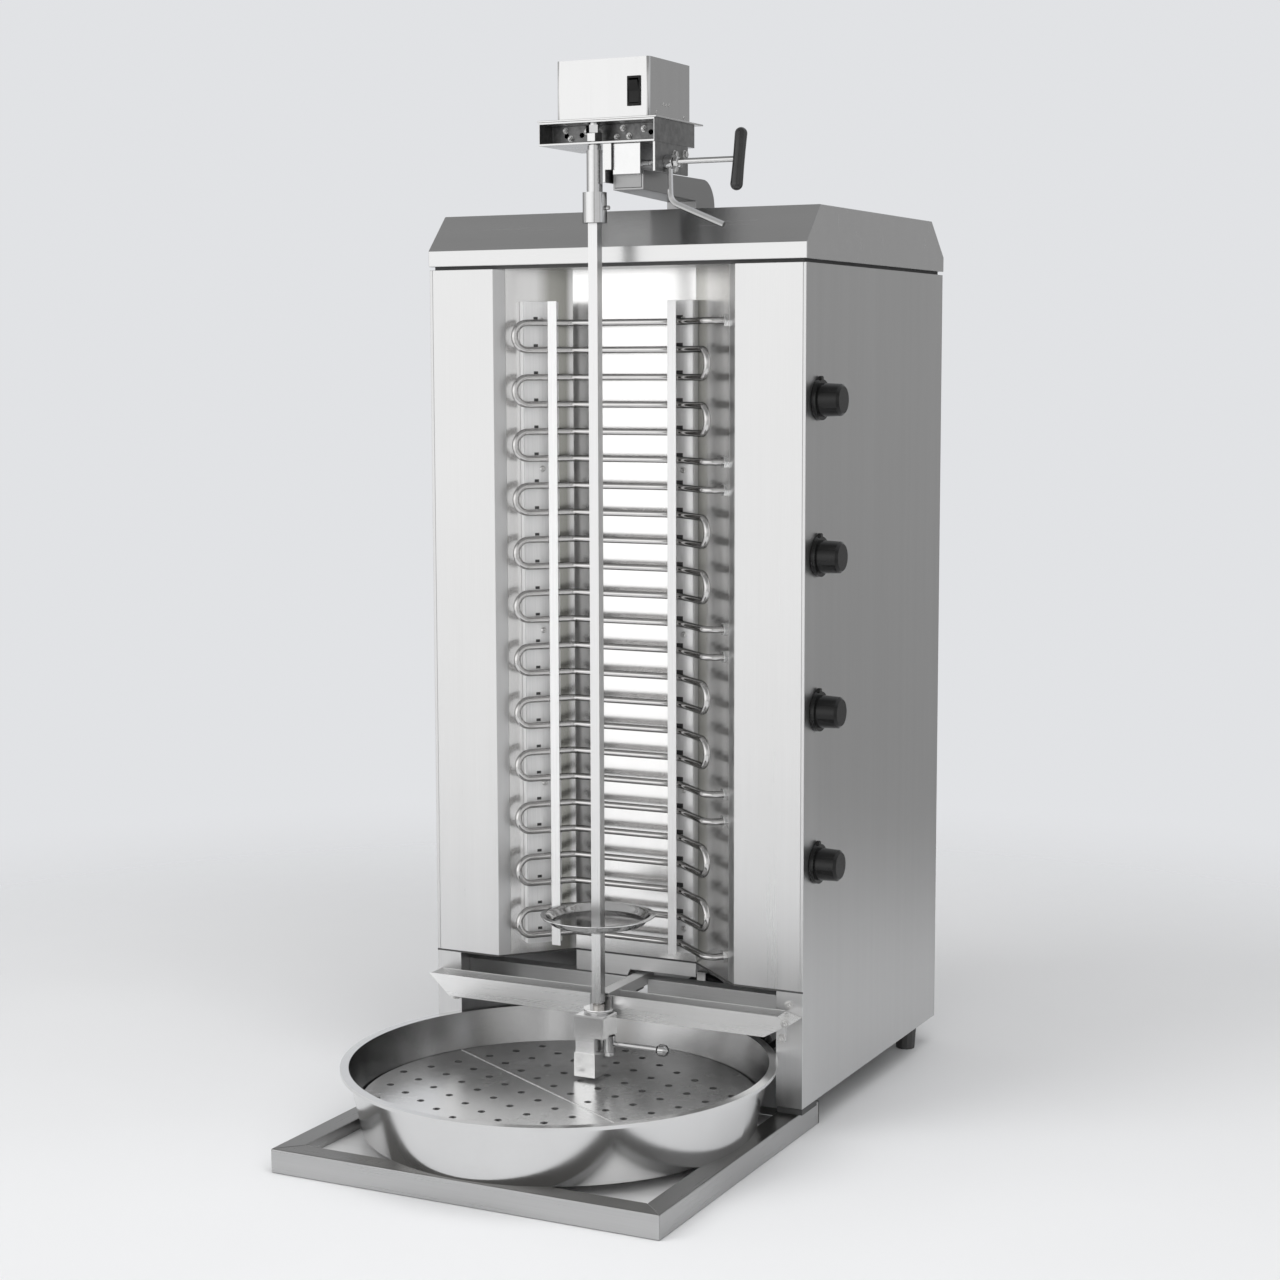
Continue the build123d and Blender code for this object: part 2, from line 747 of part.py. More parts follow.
# Bearing block that carries the spit's lower pin
block_y = (block_front + block_rear) / 2
with BuildPart() as upper_block:
    with Locations((spit_x, block_y, block_bottom_z)):
        Box(2 * block_half, block_rear - block_front, block_top_z - block_bottom_z,
            align=(Align.CENTER, Align.CENTER, Align.MIN))
    chamfer(upper_block.edges().group_by(Axis.Z)[-1], 1.5)
    with Locations((spit_x + lower_left, block_front, lower_bottom_z)):
        Box(lower_right - lower_left, block_rear - block_front, step_z - lower_bottom_z, align=Align.MIN)
    with Locations((spit_x + lower_left + 1.5, block_front + 1.5, step_z)):
        Box(lower_right - lower_left - 3, block_rear - block_front - 1.5, block_bottom_z - step_z,
            align=Align.MIN)
    with BuildSketch(Plane.XY.offset(block_top_z)):
        with Locations((spit_x, spit_y)):
            Circle(neck_radius)
        with Locations((spit_x, block_rear)):
            Rectangle(3 * collar_radius, 2 * collar_radius, align=(Align.CENTER, Align.MAX),
                      mode=Mode.INTERSECT)
    extrude(amount=neck_height)
    with BuildSketch(Plane.XY.offset(block_top_z + neck_height)):
        with Locations((spit_x, spit_y)):
            Circle(collar_radius)
        with Locations((spit_x, block_rear)):
            Rectangle(3 * collar_radius, 2 * collar_radius, align=(Align.CENTER, Align.MAX),
                      mode=Mode.INTERSECT)
    extrude(amount=collar_height)
    with Locations((spit_x, spit_y, block_bottom_z)):
        Cylinder(pin_radius + 3, 50, align=(Align.CENTER, Align.CENTER, Align.MIN), mode=Mode.SUBTRACT)
    with BuildSketch(Plane.XY.offset(block_bottom_z)):
        with Locations((spit_x + hub_x, hub_y)):
            Circle(stud_radius)
    extrude(amount=-stud_length)
    with BuildSketch(Plane.XY.offset(block_bottom_z - stud_length)):
        with Locations((spit_x + hub_x, hub_y)):
            RegularPolygon(stud_radius + 3, 6)
    extrude(amount=-4)
save(upper_block, "bearing_block")

with BuildPart() as bush:
    with Locations((spit_x, spit_y, block_bottom_z)):
        Cylinder(pin_radius + 3, block_top_z + 10 - block_bottom_z,
                 align=(Align.CENTER, Align.CENTER, Align.MIN))
    with Locations((spit_x, spit_y, block_bottom_z + 2)):
        Cylinder(pin_radius + running, 50, align=(Align.CENTER, Align.CENTER, Align.MIN), mode=Mode.SUBTRACT)
save(bush, "bearing_bush")

with BuildPart() as slide_bar:
    plate_rear = block_rear + back_plate
    bar_half = arm_half - arm_wall - slide_gap
    bar_bottom_z = arm_bottom_z + arm_wall + slide_gap
    bar_top_z = arm_top_z - arm_wall - slide_gap
    with Locations((0, block_rear, block_bottom_z + 2)):
        Box(28, back_plate, bar_top_z - block_bottom_z - 2, align=(Align.CENTER, Align.MIN, Align.MIN))
    with Locations((0, plate_rear, bar_bottom_z)):
        Box(2 * bar_half, bar_rear - plate_rear, bar_top_z - bar_bottom_z,
            align=(Align.CENTER, Align.MIN, Align.MIN))
save(slide_bar, "slide_bar")

with BuildPart() as carriage_lever:
    with Locations((spit_x + hub_x, hub_y, block_bottom_z - seat_gap)):
        Cylinder(hub_radius, stud_length - 1, align=(Align.CENTER, Align.CENTER, Align.MAX))
    with BuildSketch(Plane.YZ.offset(spit_x + hub_x)):
        with Locations((hub_y, lever_z)):
            RegularPolygon(3, 8)
    extrude(amount=lever_reach - hub_x)
    with Locations((spit_x + hub_x, hub_y, block_bottom_z)):
        Cylinder(stud_radius + running, 40, align=(Align.CENTER, Align.CENTER, Align.MAX),
                 mode=Mode.SUBTRACT)
save(carriage_lever, "carriage_lever")

with BuildPart() as lever_ball:
    ball_start = spit_x + lever_reach - 4
    with BuildSketch(Plane((ball_start, hub_y, lever_z), x_dir=(1, 0, 0), z_dir=(0, -1, 0))):
        Polygon((0, 3), (0, ball_radius - 2.5), (3, ball_radius), (2 * ball_radius - 4, ball_radius),
                (2 * ball_radius - 1, ball_radius - 2.5), (2 * ball_radius, 0), (4, 0), (4, 3), align=None)
    revolve(axis=Axis((0, hub_y, lever_z), (1, 0, 0)))
save(lever_ball, "lever_ball")

# Spit with its disc
with BuildPart() as spit:
    with BuildSketch(Plane.XY.offset(spit_bottom_z)):
        with Locations((spit_x, spit_y)):
            Rectangle(spit_side, spit_side)
    extrude(amount=spit_top_z - spit_bottom_z)
    with Locations((spit_x, spit_y, block_bottom_z + 2 + seat_gap)):
        Cylinder(pin_radius, spit_bottom_z - block_bottom_z - 2 - seat_gap,
                 align=(Align.CENTER, Align.CENTER, Align.MIN))
save(spit, "spit")

with BuildPart() as disc:
    with BuildSketch(Plane((spit_x, spit_y, 0), x_dir=(1, 0, 0), z_dir=(0, -1, 0))):
        Polygon(*folded([(0, disc_z), (disc_radius - 12, disc_z), (disc_radius - 5, disc_z + disc_rim),
                         (disc_radius, disc_z + disc_rim)], 1.5), align=None)
    revolve(axis=Axis((spit_x, spit_y, 0), (0, 0, 1)))
    with BuildSketch(Plane.XY.offset(disc_z - disc_hub)):
        with Locations((spit_x, spit_y)):
            Circle(disc_hub_radius)
    extrude(amount=disc_hub)
    with BuildSketch(Plane.XY.offset(disc_z - 20)):
        with Locations((spit_x, spit_y)):
            Rectangle(spit_side, spit_side)
    extrude(amount=40, mode=Mode.SUBTRACT)
save(disc, "spit_disc")

# Drive shaft, nuts, collar and the sleeve that couples the spit
with BuildPart() as output_shaft:
    with Locations((spit_x, spit_y, spit_top_z)):
        Cylinder(output_radius, tray_bottom_z + tray_height - seat_gap - spit_top_z,
                 align=(Align.CENTER, Align.CENTER, Align.MIN))
    with BuildSketch(Plane.XY.offset(tray_bottom_z + heavy_sheet + 1)):
        with Locations((spit_x, spit_y)):
            RegularPolygon(shaft_nut_radius, 6)
    extrude(amount=shaft_nut)
    with BuildSketch(Plane.XY.offset(tray_bottom_z + heavy_sheet + shaft_nut + 1.5)):
        with Locations((spit_x, spit_y)):
            RegularPolygon(shaft_nut_radius, 6, rotation=20)
    extrude(amount=shaft_nut)
save(output_shaft, "output_shaft")

with BuildPart() as inner_sleeve:
    with BuildSketch(Plane.XY.offset(spit_top_z)):
        with Locations((spit_x, spit_y)):
            Circle(sleeve_radius)
            Circle(output_radius, mode=Mode.SUBTRACT)
    extrude(amount=collar_bottom_z - spit_top_z)
    with BuildSketch(Plane.XY.offset(collar_bottom_z)):
        with Locations((spit_x, spit_y)):
            Circle(sleeve_radius - 1.2)
            Circle(output_radius, mode=Mode.SUBTRACT)
    extrude(amount=collar_top_z - collar_bottom_z)
save(inner_sleeve, "drive_sleeve")

with BuildPart() as outer_sleeve:
    with BuildSketch(Plane.XY.offset(spit_top_z - coupling_under)):
        with Locations((spit_x, spit_y)):
            Circle(coupling_radius)
            Circle(sleeve_radius + running, mode=Mode.SUBTRACT)
    extrude(amount=coupling_length)
    with BuildSketch(Plane.YZ.offset(spit_x + coupling_radius - 3)):
        with Locations((spit_y, spit_top_z - coupling_pin_under)):
            RegularPolygon(2.5, 8)
    extrude(amount=8)
save(outer_sleeve, "coupling_sleeve")

# Support arm bolted on the cap
with BuildPart() as support_arm:
    with BuildSketch(Plane.YZ.offset(arm_left_x)) as arm_side:
        Polygon((arm_nose_y, arm_under_z), (arm_foot_y, arm_heel_z), (arm_foot_y, cap_top_z),
                (arm_end_y, cap_top_z), (arm_end_y, arm_side_z), (arm_nose_y, arm_side_z), align=None)
        fillet(arm_side.vertices().sort_by(Axis.X)[-2:].sort_by(Axis.Y)[-1:], 32)
    extrude(amount=arm_right_x - arm_left_x)
    with BuildSketch(Plane.YZ.offset(arm_left_x + heavy_sheet)):
        Polygon((arm_nose_y, arm_under_z + heavy_sheet),
                (arm_foot_y + heavy_sheet, arm_heel_z + heavy_sheet),
                (arm_foot_y + heavy_sheet, cap_top_z + heavy_sheet),
                (arm_end_y - heavy_sheet, cap_top_z + heavy_sheet),
                (arm_end_y - heavy_sheet, arm_side_z + 1), (arm_nose_y, arm_side_z + 1), align=None)
    extrude(amount=arm_right_x - arm_left_x - 2 * heavy_sheet, mode=Mode.SUBTRACT)
save(support_arm, "support_arm")

with BuildPart() as slide_block:
    block_z = tray_bottom_z - seat_gap
    with Locations((block_left_x, slide_front, arm_side_z)):
        Box(block_right_x - block_left_x, slide_rear - slide_front, block_z - arm_side_z, align=Align.MIN)
    with Locations((block_left_x, slide_front, arm_side_z - 5)):
        Box(block_right_x - block_left_x, arm_nose_y - slide_front, 5, align=Align.MIN)
    with Locations((arm_left_x + heavy_sheet, arm_nose_y, arm_under_z + heavy_sheet)):
        Box(arm_right_x - arm_left_x - 2 * heavy_sheet, slide_rear - arm_nose_y,
            arm_side_z - arm_under_z - heavy_sheet, align=Align.MIN)
save(slide_block, "slide_block")

# Motor head: tray open to the front, saddle walls, top plate and cover
with BuildPart() as tray:
    with BuildSketch(Plane.YZ.offset(tray_left)):
        with Locations((tray_front, tray_bottom_z)):
            Rectangle(tray_rear - tray_front, tray_height, align=Align.MIN)
        with Locations((tray_front, tray_bottom_z + heavy_sheet)):
            Rectangle(tray_web_y - tray_front, tray_height - 2 * heavy_sheet, align=Align.MIN,
                      mode=Mode.SUBTRACT)
        with Locations((tray_web_y + heavy_sheet, tray_bottom_z + heavy_sheet)):
            Rectangle(tray_rear - tray_web_y - 2 * heavy_sheet, tray_height - 2 * heavy_sheet,
                      align=Align.MIN,
                      mode=Mode.SUBTRACT)
    extrude(amount=tray_right - tray_left)
    with Locations((tray_left, tray_front, tray_bottom_z),
                   (tray_right - end_plate, tray_front, tray_bottom_z)):
        Box(end_plate, tray_rear - tray_front, tray_height, align=Align.MIN)
    with BuildSketch(Plane.XY.offset(tray_bottom_z)):
        with Locations((spit_x, spit_y)):
            RegularPolygon(7.5, 8)
    extrude(amount=tray_height, mode=Mode.SUBTRACT)
    with BuildSketch(Plane.XZ.offset(-tray_web_y)):
        hole_z = tray_bottom_z + tray_height / 2
        with Locations((tray_left + tray_hole_inset, hole_z), (tray_left + 2 * tray_hole_inset, hole_z),
                       (tray_right - tray_hole_inset, hole_z)):
            RegularPolygon(3, 8)
    extrude(amount=-heavy_sheet, mode=Mode.SUBTRACT)
save(tray, "head_tray")

with BuildPart() as saddle:
    saddle_length = saddle_rear - saddle_front
    with Locations((saddle_right_x, saddle_front, saddle_bottom_z)):
        Box(saddle_wall, saddle_length, tray_bottom_z - saddle_bottom_z,
            align=(Align.MAX, Align.MIN, Align.MIN))
    with BuildSketch(Plane.YZ.offset(saddle_right_x)):
        with Locations((clamp_y, clamp_z)):
            Circle(clamp_radius + running)
        with Locations((clamp_y + 34, clamp_z)):
            Rectangle(20, 6)
    extrude(amount=-saddle_wall, mode=Mode.SUBTRACT)
    with Locations((saddle_left_x, saddle_front, saddle_left_bottom_z)):
        Box(saddle_wall, saddle_length, tray_bottom_z - saddle_left_bottom_z, align=Align.MIN)
    with Locations((saddle_left_x + saddle_wall, saddle_front, arm_side_z + seat_gap)):
        Box(block_left_x - seat_gap - saddle_left_x - saddle_wall, saddle_length,
            tray_bottom_z - arm_side_z - seat_gap, align=Align.MIN)
save(saddle, "head_saddle")

plate_z = tray_bottom_z + tray_height
with BuildPart() as top_sheet:
    with Locations((tray_left - top_plate_over, tray_front, plate_z)):
        Box(tray_right - tray_left + 2 * top_plate_over, top_plate_rear - tray_front, top_plate,
            align=Align.MIN)
save(top_sheet, "head_top_plate")

cover_z = plate_z + top_plate
with BuildPart() as cover:
    with Locations((cover_left, cover_front, cover_z)):
        Box(cover_right - cover_left, cover_rear - cover_front, cover_height, align=Align.MIN)
    fillet(cover.edges().filter_by(Axis.Z), cover_round)
    with Locations((cover_left + sheet, cover_front + sheet, cover_z)):
        Box(cover_right - cover_left - 2 * sheet, cover_rear - cover_front - 2 * sheet, cover_height - sheet,
            align=Align.MIN, mode=Mode.SUBTRACT)
    with Locations((switch_x, cover_front, switch_z)):
        Box(pocket_width + 2, 4 * sheet, pocket_height + 2, mode=Mode.SUBTRACT)
save(cover, "motor_cover")

with BuildPart() as gear_motor:
    with Locations((spit_x + 8, 18, cover_z)):
        Box(*gearbox, align=(Align.CENTER, Align.CENTER, Align.MIN))
    with Locations((spit_x - 12, 20, cover_z + gearbox[2])):
        Cylinder(motor_radius, motor_height, align=(Align.CENTER, Align.CENTER, Align.MIN))
save(gear_motor, "gear_motor")

# Rocker switch in the cover's front: the rocker tips on two short pins in the bezel's walls
rocker_y = cover_front + rocker_in
with BuildPart() as bezel:
    with Locations((switch_x, cover_front, switch_z)):
        Box(switch_width, 2, switch_height, align=(Align.CENTER, Align.MAX, Align.CENTER))
    fillet(bezel.faces().sort_by(Axis.Y)[0].edges(), 0.8)
    with Locations((switch_x, cover_front, switch_z)):
        Box(pocket_width + 2, 12, pocket_height + 2, align=(Align.CENTER, Align.MIN, Align.CENTER))
    with Locations((switch_x, cover_front - 3, switch_z)):
        Box(pocket_width, 13, pocket_height, align=(Align.CENTER, Align.MIN, Align.CENTER),
            mode=Mode.SUBTRACT)
    with BuildSketch(Plane.YZ.offset(switch_x)):
        with Locations((rocker_y, switch_z)):
            Circle(rocker_pin_radius + running)
    extrude(amount=pocket_width, both=True, mode=Mode.SUBTRACT)
save(bezel, "switch_bezel")

with BuildPart() as rocker:
    with BuildSketch(Plane((switch_x - pocket_width / 2 + seat_gap, rocker_y, switch_z), x_dir=(0, 1, 0),
                           z_dir=(1, 0, 0))):
        Polygon((-5, 12.6), (-3, 0), (-5, -12.6), (1, -12.6), (5, -5), (5, 5), (1, 12.6),
                rotation=rocker_tilt,
                align=None)
    extrude(amount=pocket_width - 2 * seat_gap)
    with BuildSketch(Plane.YZ.offset(switch_x)):
        with Locations((rocker_y, switch_z)):
            Circle(rocker_pin_radius)
    extrude(amount=pocket_width / 2 + rocker_pin_reach, both=True)
save(rocker, "rocker")

# Clamp screw with its tilted grip, and the bent lever on its own hub
with BuildPart() as clamp_screw:
    with BuildSketch(Plane.YZ.offset(block_right_x + seat_gap)):
        with Locations((clamp_y, clamp_z)):
            Circle(clamp_radius)
    extrude(amount=clamp_reach - block_right_x - seat_gap)
save(clamp_screw, "clamp_screw")

with BuildPart() as clamp_grip:
    tilted = Plane((clamp_reach, clamp_y, clamp_z), x_dir=(1, 0, 0),
                   z_dir=(0, sin(radians(grip_tilt)), cos(radians(grip_tilt))))
    with BuildSketch(tilted.offset(-grip_length / 2)):
        Circle(grip_radius)
    extrude(amount=grip_length)
    chamfer(clamp_grip.edges().filter_by(GeomType.CIRCLE), grip_end)
    with BuildSketch(Plane.YZ.offset(clamp_reach)):
        with Locations((clamp_y, clamp_z)):
            Circle(clamp_radius)
    extrude(amount=-grip_radius, mode=Mode.SUBTRACT)
save(clamp_grip, "clamp_grip")

with BuildPart() as bent_lever:
    hub_start = saddle_right_x + seat_gap
    with BuildSketch(Plane.YZ.offset(hub_start)):
        with Locations((clamp_y, clamp_z)):
                Circle(bent_hub_radius)
    extrude(amount=hub_length)
    with BuildLine() as lever_line:
        hub_middle = hub_start + hub_length / 2
        FilletPolyline((hub_middle, clamp_y, clamp_z - 4), (hub_middle, clamp_y + 2, clamp_z - 45),
                       (158, clamp_y + 3, clamp_z - 73), radius=14)
    with BuildSketch(Plane(lever_line.line @ 0, z_dir=lever_line.line % 0)):
        RegularPolygon(bent_radius, 8)
    sweep()
    with BuildSketch(Plane.YZ.offset(hub_start)):
        with Locations((clamp_y, clamp_z)):
            Circle(clamp_radius + running)
    extrude(amount=hub_length, mode=Mode.SUBTRACT)
save(bent_lever, "bent_lever")

# Gland, clip and supply cord
gland_drop = 24
with BuildPart() as gland:
    with BuildSketch(Plane.XY.offset(floor_z)):
        with Locations((gland_x, gland_y)):
            RegularPolygon(13, 6)
    extrude(amount=-8)
    with Locations((gland_x, gland_y, floor_z - 8)):
        Cone(7, 11, gland_drop - 8, align=(Align.CENTER, Align.CENTER, Align.MAX))
    with Locations((gland_x, gland_y, floor_z)):
        Cylinder(8.7, 12, align=(Align.CENTER, Align.CENTER, Align.MIN))
save(gland, "cord_gland")

# The cord hangs in a bow to a clip under the casing and drops behind the lower arm to its coil
coil_x = 20
coil_y = 300
coil_radius = 57
coil_gap = 0.8
cord_radius = cord_diameter / 2
lay_z = cord_radius + 0.3
coil_start = (coil_x + coil_radius, coil_y - cord_diameter, lay_z)
cord_points = [(gland_x, gland_y, floor_z - gland_drop), (gland_x, gland_y, 104), (100, 151, 104),
               (68, 151, 140), (34, 152, 137), (14, 158, 100), (10, 172, 60), (22, 198, 26), (46, 232, 8),
               (coil_start[0], coil_start[1] - 29, lay_z), coil_start]


def widest_radii(points):
    """Radius of each bend: as large as the two runs beside it allow."""
    radii = []
    for before, here, after in zip(points, points[1:], points[2:]):
        first = Vector(*here) - Vector(*before)
        second = Vector(*after) - Vector(*here)
        turn = radians(first.get_angle(second))
        first_share = 0.9 if before == points[0] else 0.45
        last_share = 0.9 if after == points[-1] else 0.45
        radii.append(min(first_share * first.length, last_share * second.length) / tan(turn / 2))
    return radii


cord_radii = widest_radii(cord_points)
print("cord radii", [round(radius, 1) for radius in cord_radii])
with BuildPart() as cord:
    with BuildLine() as cord_line:
        FilletPolyline(*cord_points, radius=cord_radii)
    with BuildSketch(Plane(cord_line.line @ 0, z_dir=cord_line.line % 0)) as cord_section:
        RegularPolygon(cord_radius, 8)
    sweep()
save(cord, "cord")
cord_length = sum(edge.length for edge in cord_line.edges())
print("cord length", round(cord_length, 1), "volume by length",
      round(cord_section.sketch.area * cord_length),
      "volume", round(cord.part.volume))

# Coil: half turns that spiral in on the floor, climb, and spiral out on top
step = (cord_diameter + coil_gap) / 2
layer_rise = cord_diameter + coil_gap
lower_ends = [coil_radius - index * step for index in range(4)]
upper_ends = [coil_radius - 4 * step] + [coil_radius - (2 - index) * step for index in range(4)]
stations = [(radius, lay_z) for radius in lower_ends] + [(radius,
                                                          lay_z + layer_rise) for radius in upper_ends]
tail_radius = 46
with BuildPart() as coil:
    with BuildLine() as coil_line:
        Line(coil_start, (coil_start[0], coil_y, lay_z))
        for index, ((here, here_z), (after, after_z)) in enumerate(zip(stations, stations[1:])):
            way = -1 if index % 2 else 1
            start_x = coil_x + way * here
            end_x = coil_x - way * after
            ThreePointArc((start_x, coil_y, here_z),
                          ((start_x + end_x) / 2, coil_y + way * hypot(here + after, after_z - here_z) / 2,
                           (here_z + after_z) / 2),
                          (end_x, coil_y, after_z))
        tail_x = coil_x + stations[-1][0]
        tail_z = stations[-1][1]
        ThreePointArc((tail_x, coil_y, tail_z),
                      (tail_x + tail_radius * (1 - cos(pi / 4)), coil_y + tail_radius * sin(pi / 4), tail_z),
                      (tail_x + tail_radius, coil_y + tail_radius, tail_z))
        Line((tail_x + tail_radius, coil_y + tail_radius, tail_z),
             (tail_x + tail_radius + cord_diameter, coil_y + tail_radius, tail_z))
    with BuildSketch(Plane(coil_line.line @ 0, z_dir=coil_line.line % 0)) as coil_section:
        RegularPolygon(cord_radius, 6)
    sweep()
save(coil, "cord_coil")
coil_length = sum(edge.length for edge in coil_line.edges())
turns = []
travelled = 0
for edge in coil_line.edges():
    turns += [(travelled + edge.length * index / 24, edge @ (index / 24)) for index in range(24)]
    travelled += edge.length
least = min((one - other).length for at, one in turns for later, other in turns if later > at + 60)
print("coil length", round(coil_length, 1), "least gap to itself", round(least - cord_diameter, 2))

# Moulded plug at the coil's end
plug_x = tail_x + tail_radius + cord_diameter
plug_y = coil_y + tail_radius
with BuildPart() as plug:
    with BuildSketch(Plane.YZ.offset(plug_x)):
        with Locations((plug_y, tail_z)):
            Circle(cord_radius + 2)
    with BuildSketch(Plane.YZ.offset(plug_x + 16)):
        with Locations((plug_y, tail_z)):
            RectangleRounded(32, 2 * tail_z - 1, 9)
    loft()
    with BuildSketch(Plane.YZ.offset(plug_x + 16)):
        with Locations((plug_y, tail_z)):
            RectangleRounded(36, 2 * tail_z - 0.4, 9)
    extrude(amount=26)
    with BuildSketch(Plane.YZ.offset(plug_x + 42)):
        with Locations((plug_y - 9.5, tail_z), (plug_y + 9.5, tail_z)):
            RegularPolygon(2.4, 8)
    extrude(amount=19)
save(plug, "cord_plug")

# Clip that holds the top of the bow under the casing
clip_x = 51
clip_z = 138.5
with BuildPart() as clip:
    with BuildSketch(Plane.YZ.offset(clip_x - 6)):
        with Locations((gland_y + 1.5, clip_z)):
            Rectangle(2 * cord_radius + 6, 2 * cord_radius + 6)
            Rectangle(2 * cord_radius + 2.4, 2 * cord_radius + 2.4, mode=Mode.SUBTRACT)
        with Locations((gland_y + 1.5, clip_z + cord_radius + 3)):
            Rectangle(2, floor_z - clip_z - cord_radius - 3, align=(Align.CENTER, Align.MIN))
    extrude(amount=12)
save(clip, "cord_clip")
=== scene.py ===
import bpy
from math import cos, pi, radians, sin, tan
from mathutils import Matrix, Vector


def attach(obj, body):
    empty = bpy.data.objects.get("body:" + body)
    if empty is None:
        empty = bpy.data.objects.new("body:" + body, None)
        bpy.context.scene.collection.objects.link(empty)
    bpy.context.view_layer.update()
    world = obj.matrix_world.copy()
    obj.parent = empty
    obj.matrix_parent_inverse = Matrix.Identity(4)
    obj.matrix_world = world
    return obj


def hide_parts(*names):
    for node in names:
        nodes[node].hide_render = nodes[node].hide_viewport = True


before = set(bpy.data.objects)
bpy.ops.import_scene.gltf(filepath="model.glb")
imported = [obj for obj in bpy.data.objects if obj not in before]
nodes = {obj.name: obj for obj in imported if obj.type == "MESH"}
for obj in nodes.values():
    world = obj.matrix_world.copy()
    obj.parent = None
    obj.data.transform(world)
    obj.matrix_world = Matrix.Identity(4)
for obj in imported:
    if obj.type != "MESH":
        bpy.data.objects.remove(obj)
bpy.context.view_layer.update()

# Studio: soft light from the upper left front, and the room that the steel mirrors. It is bright to
# the left and in front, pale as the backdrop behind the grill, grey to the right rear, dark above.
eye_down, eye_roll, eye_turn = 6.48, 0.15, 26.43
eye = bpy.data.objects.new("eye", bpy.data.cameras.new("eye"))
bpy.context.collection.objects.link(eye)
eye.location = (1.30777, -2.55409, 0.90811)
eye.rotation_euler = (radians(90 - eye_down), radians(eye_roll), radians(eye_turn))
eye.data.lens = 67.5
eye.data.sensor_width = 36
eye.data.clip_end = 60
bpy.context.scene.camera = eye
bpy.context.scene.view_settings.view_transform = "Standard"


def joined(tree, kind, inputs=(), **settings):
    """A shader node with its plain settings and its linked or constant inputs."""
    node = tree.nodes.new("ShaderNode" + kind)
    for key, value in settings.items():
        setattr(node, key, value)
    for slot, entry in dict(inputs).items():
        if isinstance(entry, bpy.types.NodeSocket):
            tree.links.new(entry, node.inputs[slot])
        else:
            node.inputs[slot].default_value = entry
    return node


def spread(tree, source, low, high, start=0.0, end=1.0):
    """The source between low and high, laid out from start to end."""
    return joined(tree, "MapRange", {"Value": source, 1: low, 2: high, 3: start, 4: end}).outputs[0]


def ramp(tree, source, stops, ease="LINEAR"):
    """A colour ramp over the source, from (place, colour) stops; a single number is a grey."""
    node = joined(tree, "ValToRGB", {0: source})
    node.color_ramp.interpolation = ease
    while len(node.color_ramp.elements) < len(stops):
        node.color_ramp.elements.new(0.5)
    for element, (place, colour) in zip(node.color_ramp.elements, stops):
        element.position = place
        element.color = (*colour, 1) if isinstance(colour, tuple) else (colour, colour, colour, 1)
    return node.outputs[0]


def mixed(tree, share, under, over, blend="MIX"):
    """One colour laid over another, by a share from 0 to 1."""
    return joined(tree, "MixRGB", {0: share, 1: under, 2: over}, blend_type=blend).outputs[0]


bright_side = (-0.47, -0.88, 0.0)
backdrop = (0.755, 0.765, 0.785, 1)
world = bpy.data.worlds.new("studio")
bpy.context.scene.world = world
world.use_nodes = True
tree = world.node_tree
tree.nodes.clear()
way = joined(tree, "TexCoord").outputs["Generated"]
toward = joined(tree, "VectorMath", {0: way, 1: bright_side}, operation="DOT_PRODUCT")
turned = spread(tree, toward.outputs["Value"], -1.0, 1.0)
round_room = ramp(tree, turned, [
    (0.0, 0.40), (0.34, 0.48), (0.44, 0.78), (0.72, 0.80), (0.80, 0.82), (0.815, 0.30),
    (0.835, 0.30), (0.85, 0.98), (0.93, 1.26), (0.98, 1.42), (1.0, 1.45)])
raised = spread(tree, joined(tree, "SeparateXYZ", {0: way}).outputs["Z"], -1.0, 1.0)
up_room = ramp(tree, raised, [
    (0.0, 0.62), (0.40, 0.80), (0.47, 0.92), (0.53, 1.0), (0.64, 0.95), (0.74, 0.60),
    (0.86, 0.44), (1.0, 0.42)])
room = mixed(tree, 1.0, round_room, up_room, "MULTIPLY")
behind = ramp(tree, turned, [(0.04, 0.0), (0.12, 1.0), (0.30, 1.0), (0.38, 0.0)])
ray = joined(tree, "LightPath").outputs
mirrored = joined(tree, "Math", {0: ray["Is Glossy Ray"], 1: ray["Is Transmission Ray"]},
                  operation="ADD").outputs[0]
seen = joined(tree, "Math", {0: behind, 1: mirrored, 2: ray["Is Camera Ray"]},
              operation="MULTIPLY_ADD").outputs[0]
sky = mixed(tree, seen, room, backdrop)
shine = joined(tree, "Background", {"Color": sky, "Strength": 1.0}).outputs[0]
joined(tree, "OutputWorld", {"Surface": shine})

for name, place, aim, size, power in (
        ("key", (-1.7, -2.3, 3.1), (0, -0.1, 0.4), 2.6, 50),
        ("fill", (2.4, -1.6, 2.6), (0, 0, 0.4), 2.6, 30),
        ("top", (0.5, -0.3, 3.4), (0, 0, 0), 3.0, 50)):
    light = bpy.data.lights.new(name, "AREA")
    light.shape = "DISK"
    light.size = size
    light.energy = power
    lamp = bpy.data.objects.new(name, light)
    bpy.context.collection.objects.link(lamp)
    lamp.location = place
    lamp.rotation_euler = (Vector(aim) - Vector(place)).to_track_quat("-Z", "Y").to_euler()
    lamp.visible_glossy = False

# Floor: one round sheet in pale matt paint, laid a hair below the feet. Its paint is faintly
# mottled, and it fades away where it would meet the backdrop.
floor_radius, floor_corners, floor_height = 4.6, 48, -0.0004
fade_start, fade_end = 0.8, 2.2
paint_dark, paint_light = (0.80, 0.805, 0.815), (0.83, 0.835, 0.845)


def blank(name):
    """A material with no nodes in it yet, and its tree."""
    material = bpy.data.materials.new(name)
    material.use_nodes = True
    material.node_tree.nodes.clear()
    return material, material.node_tree


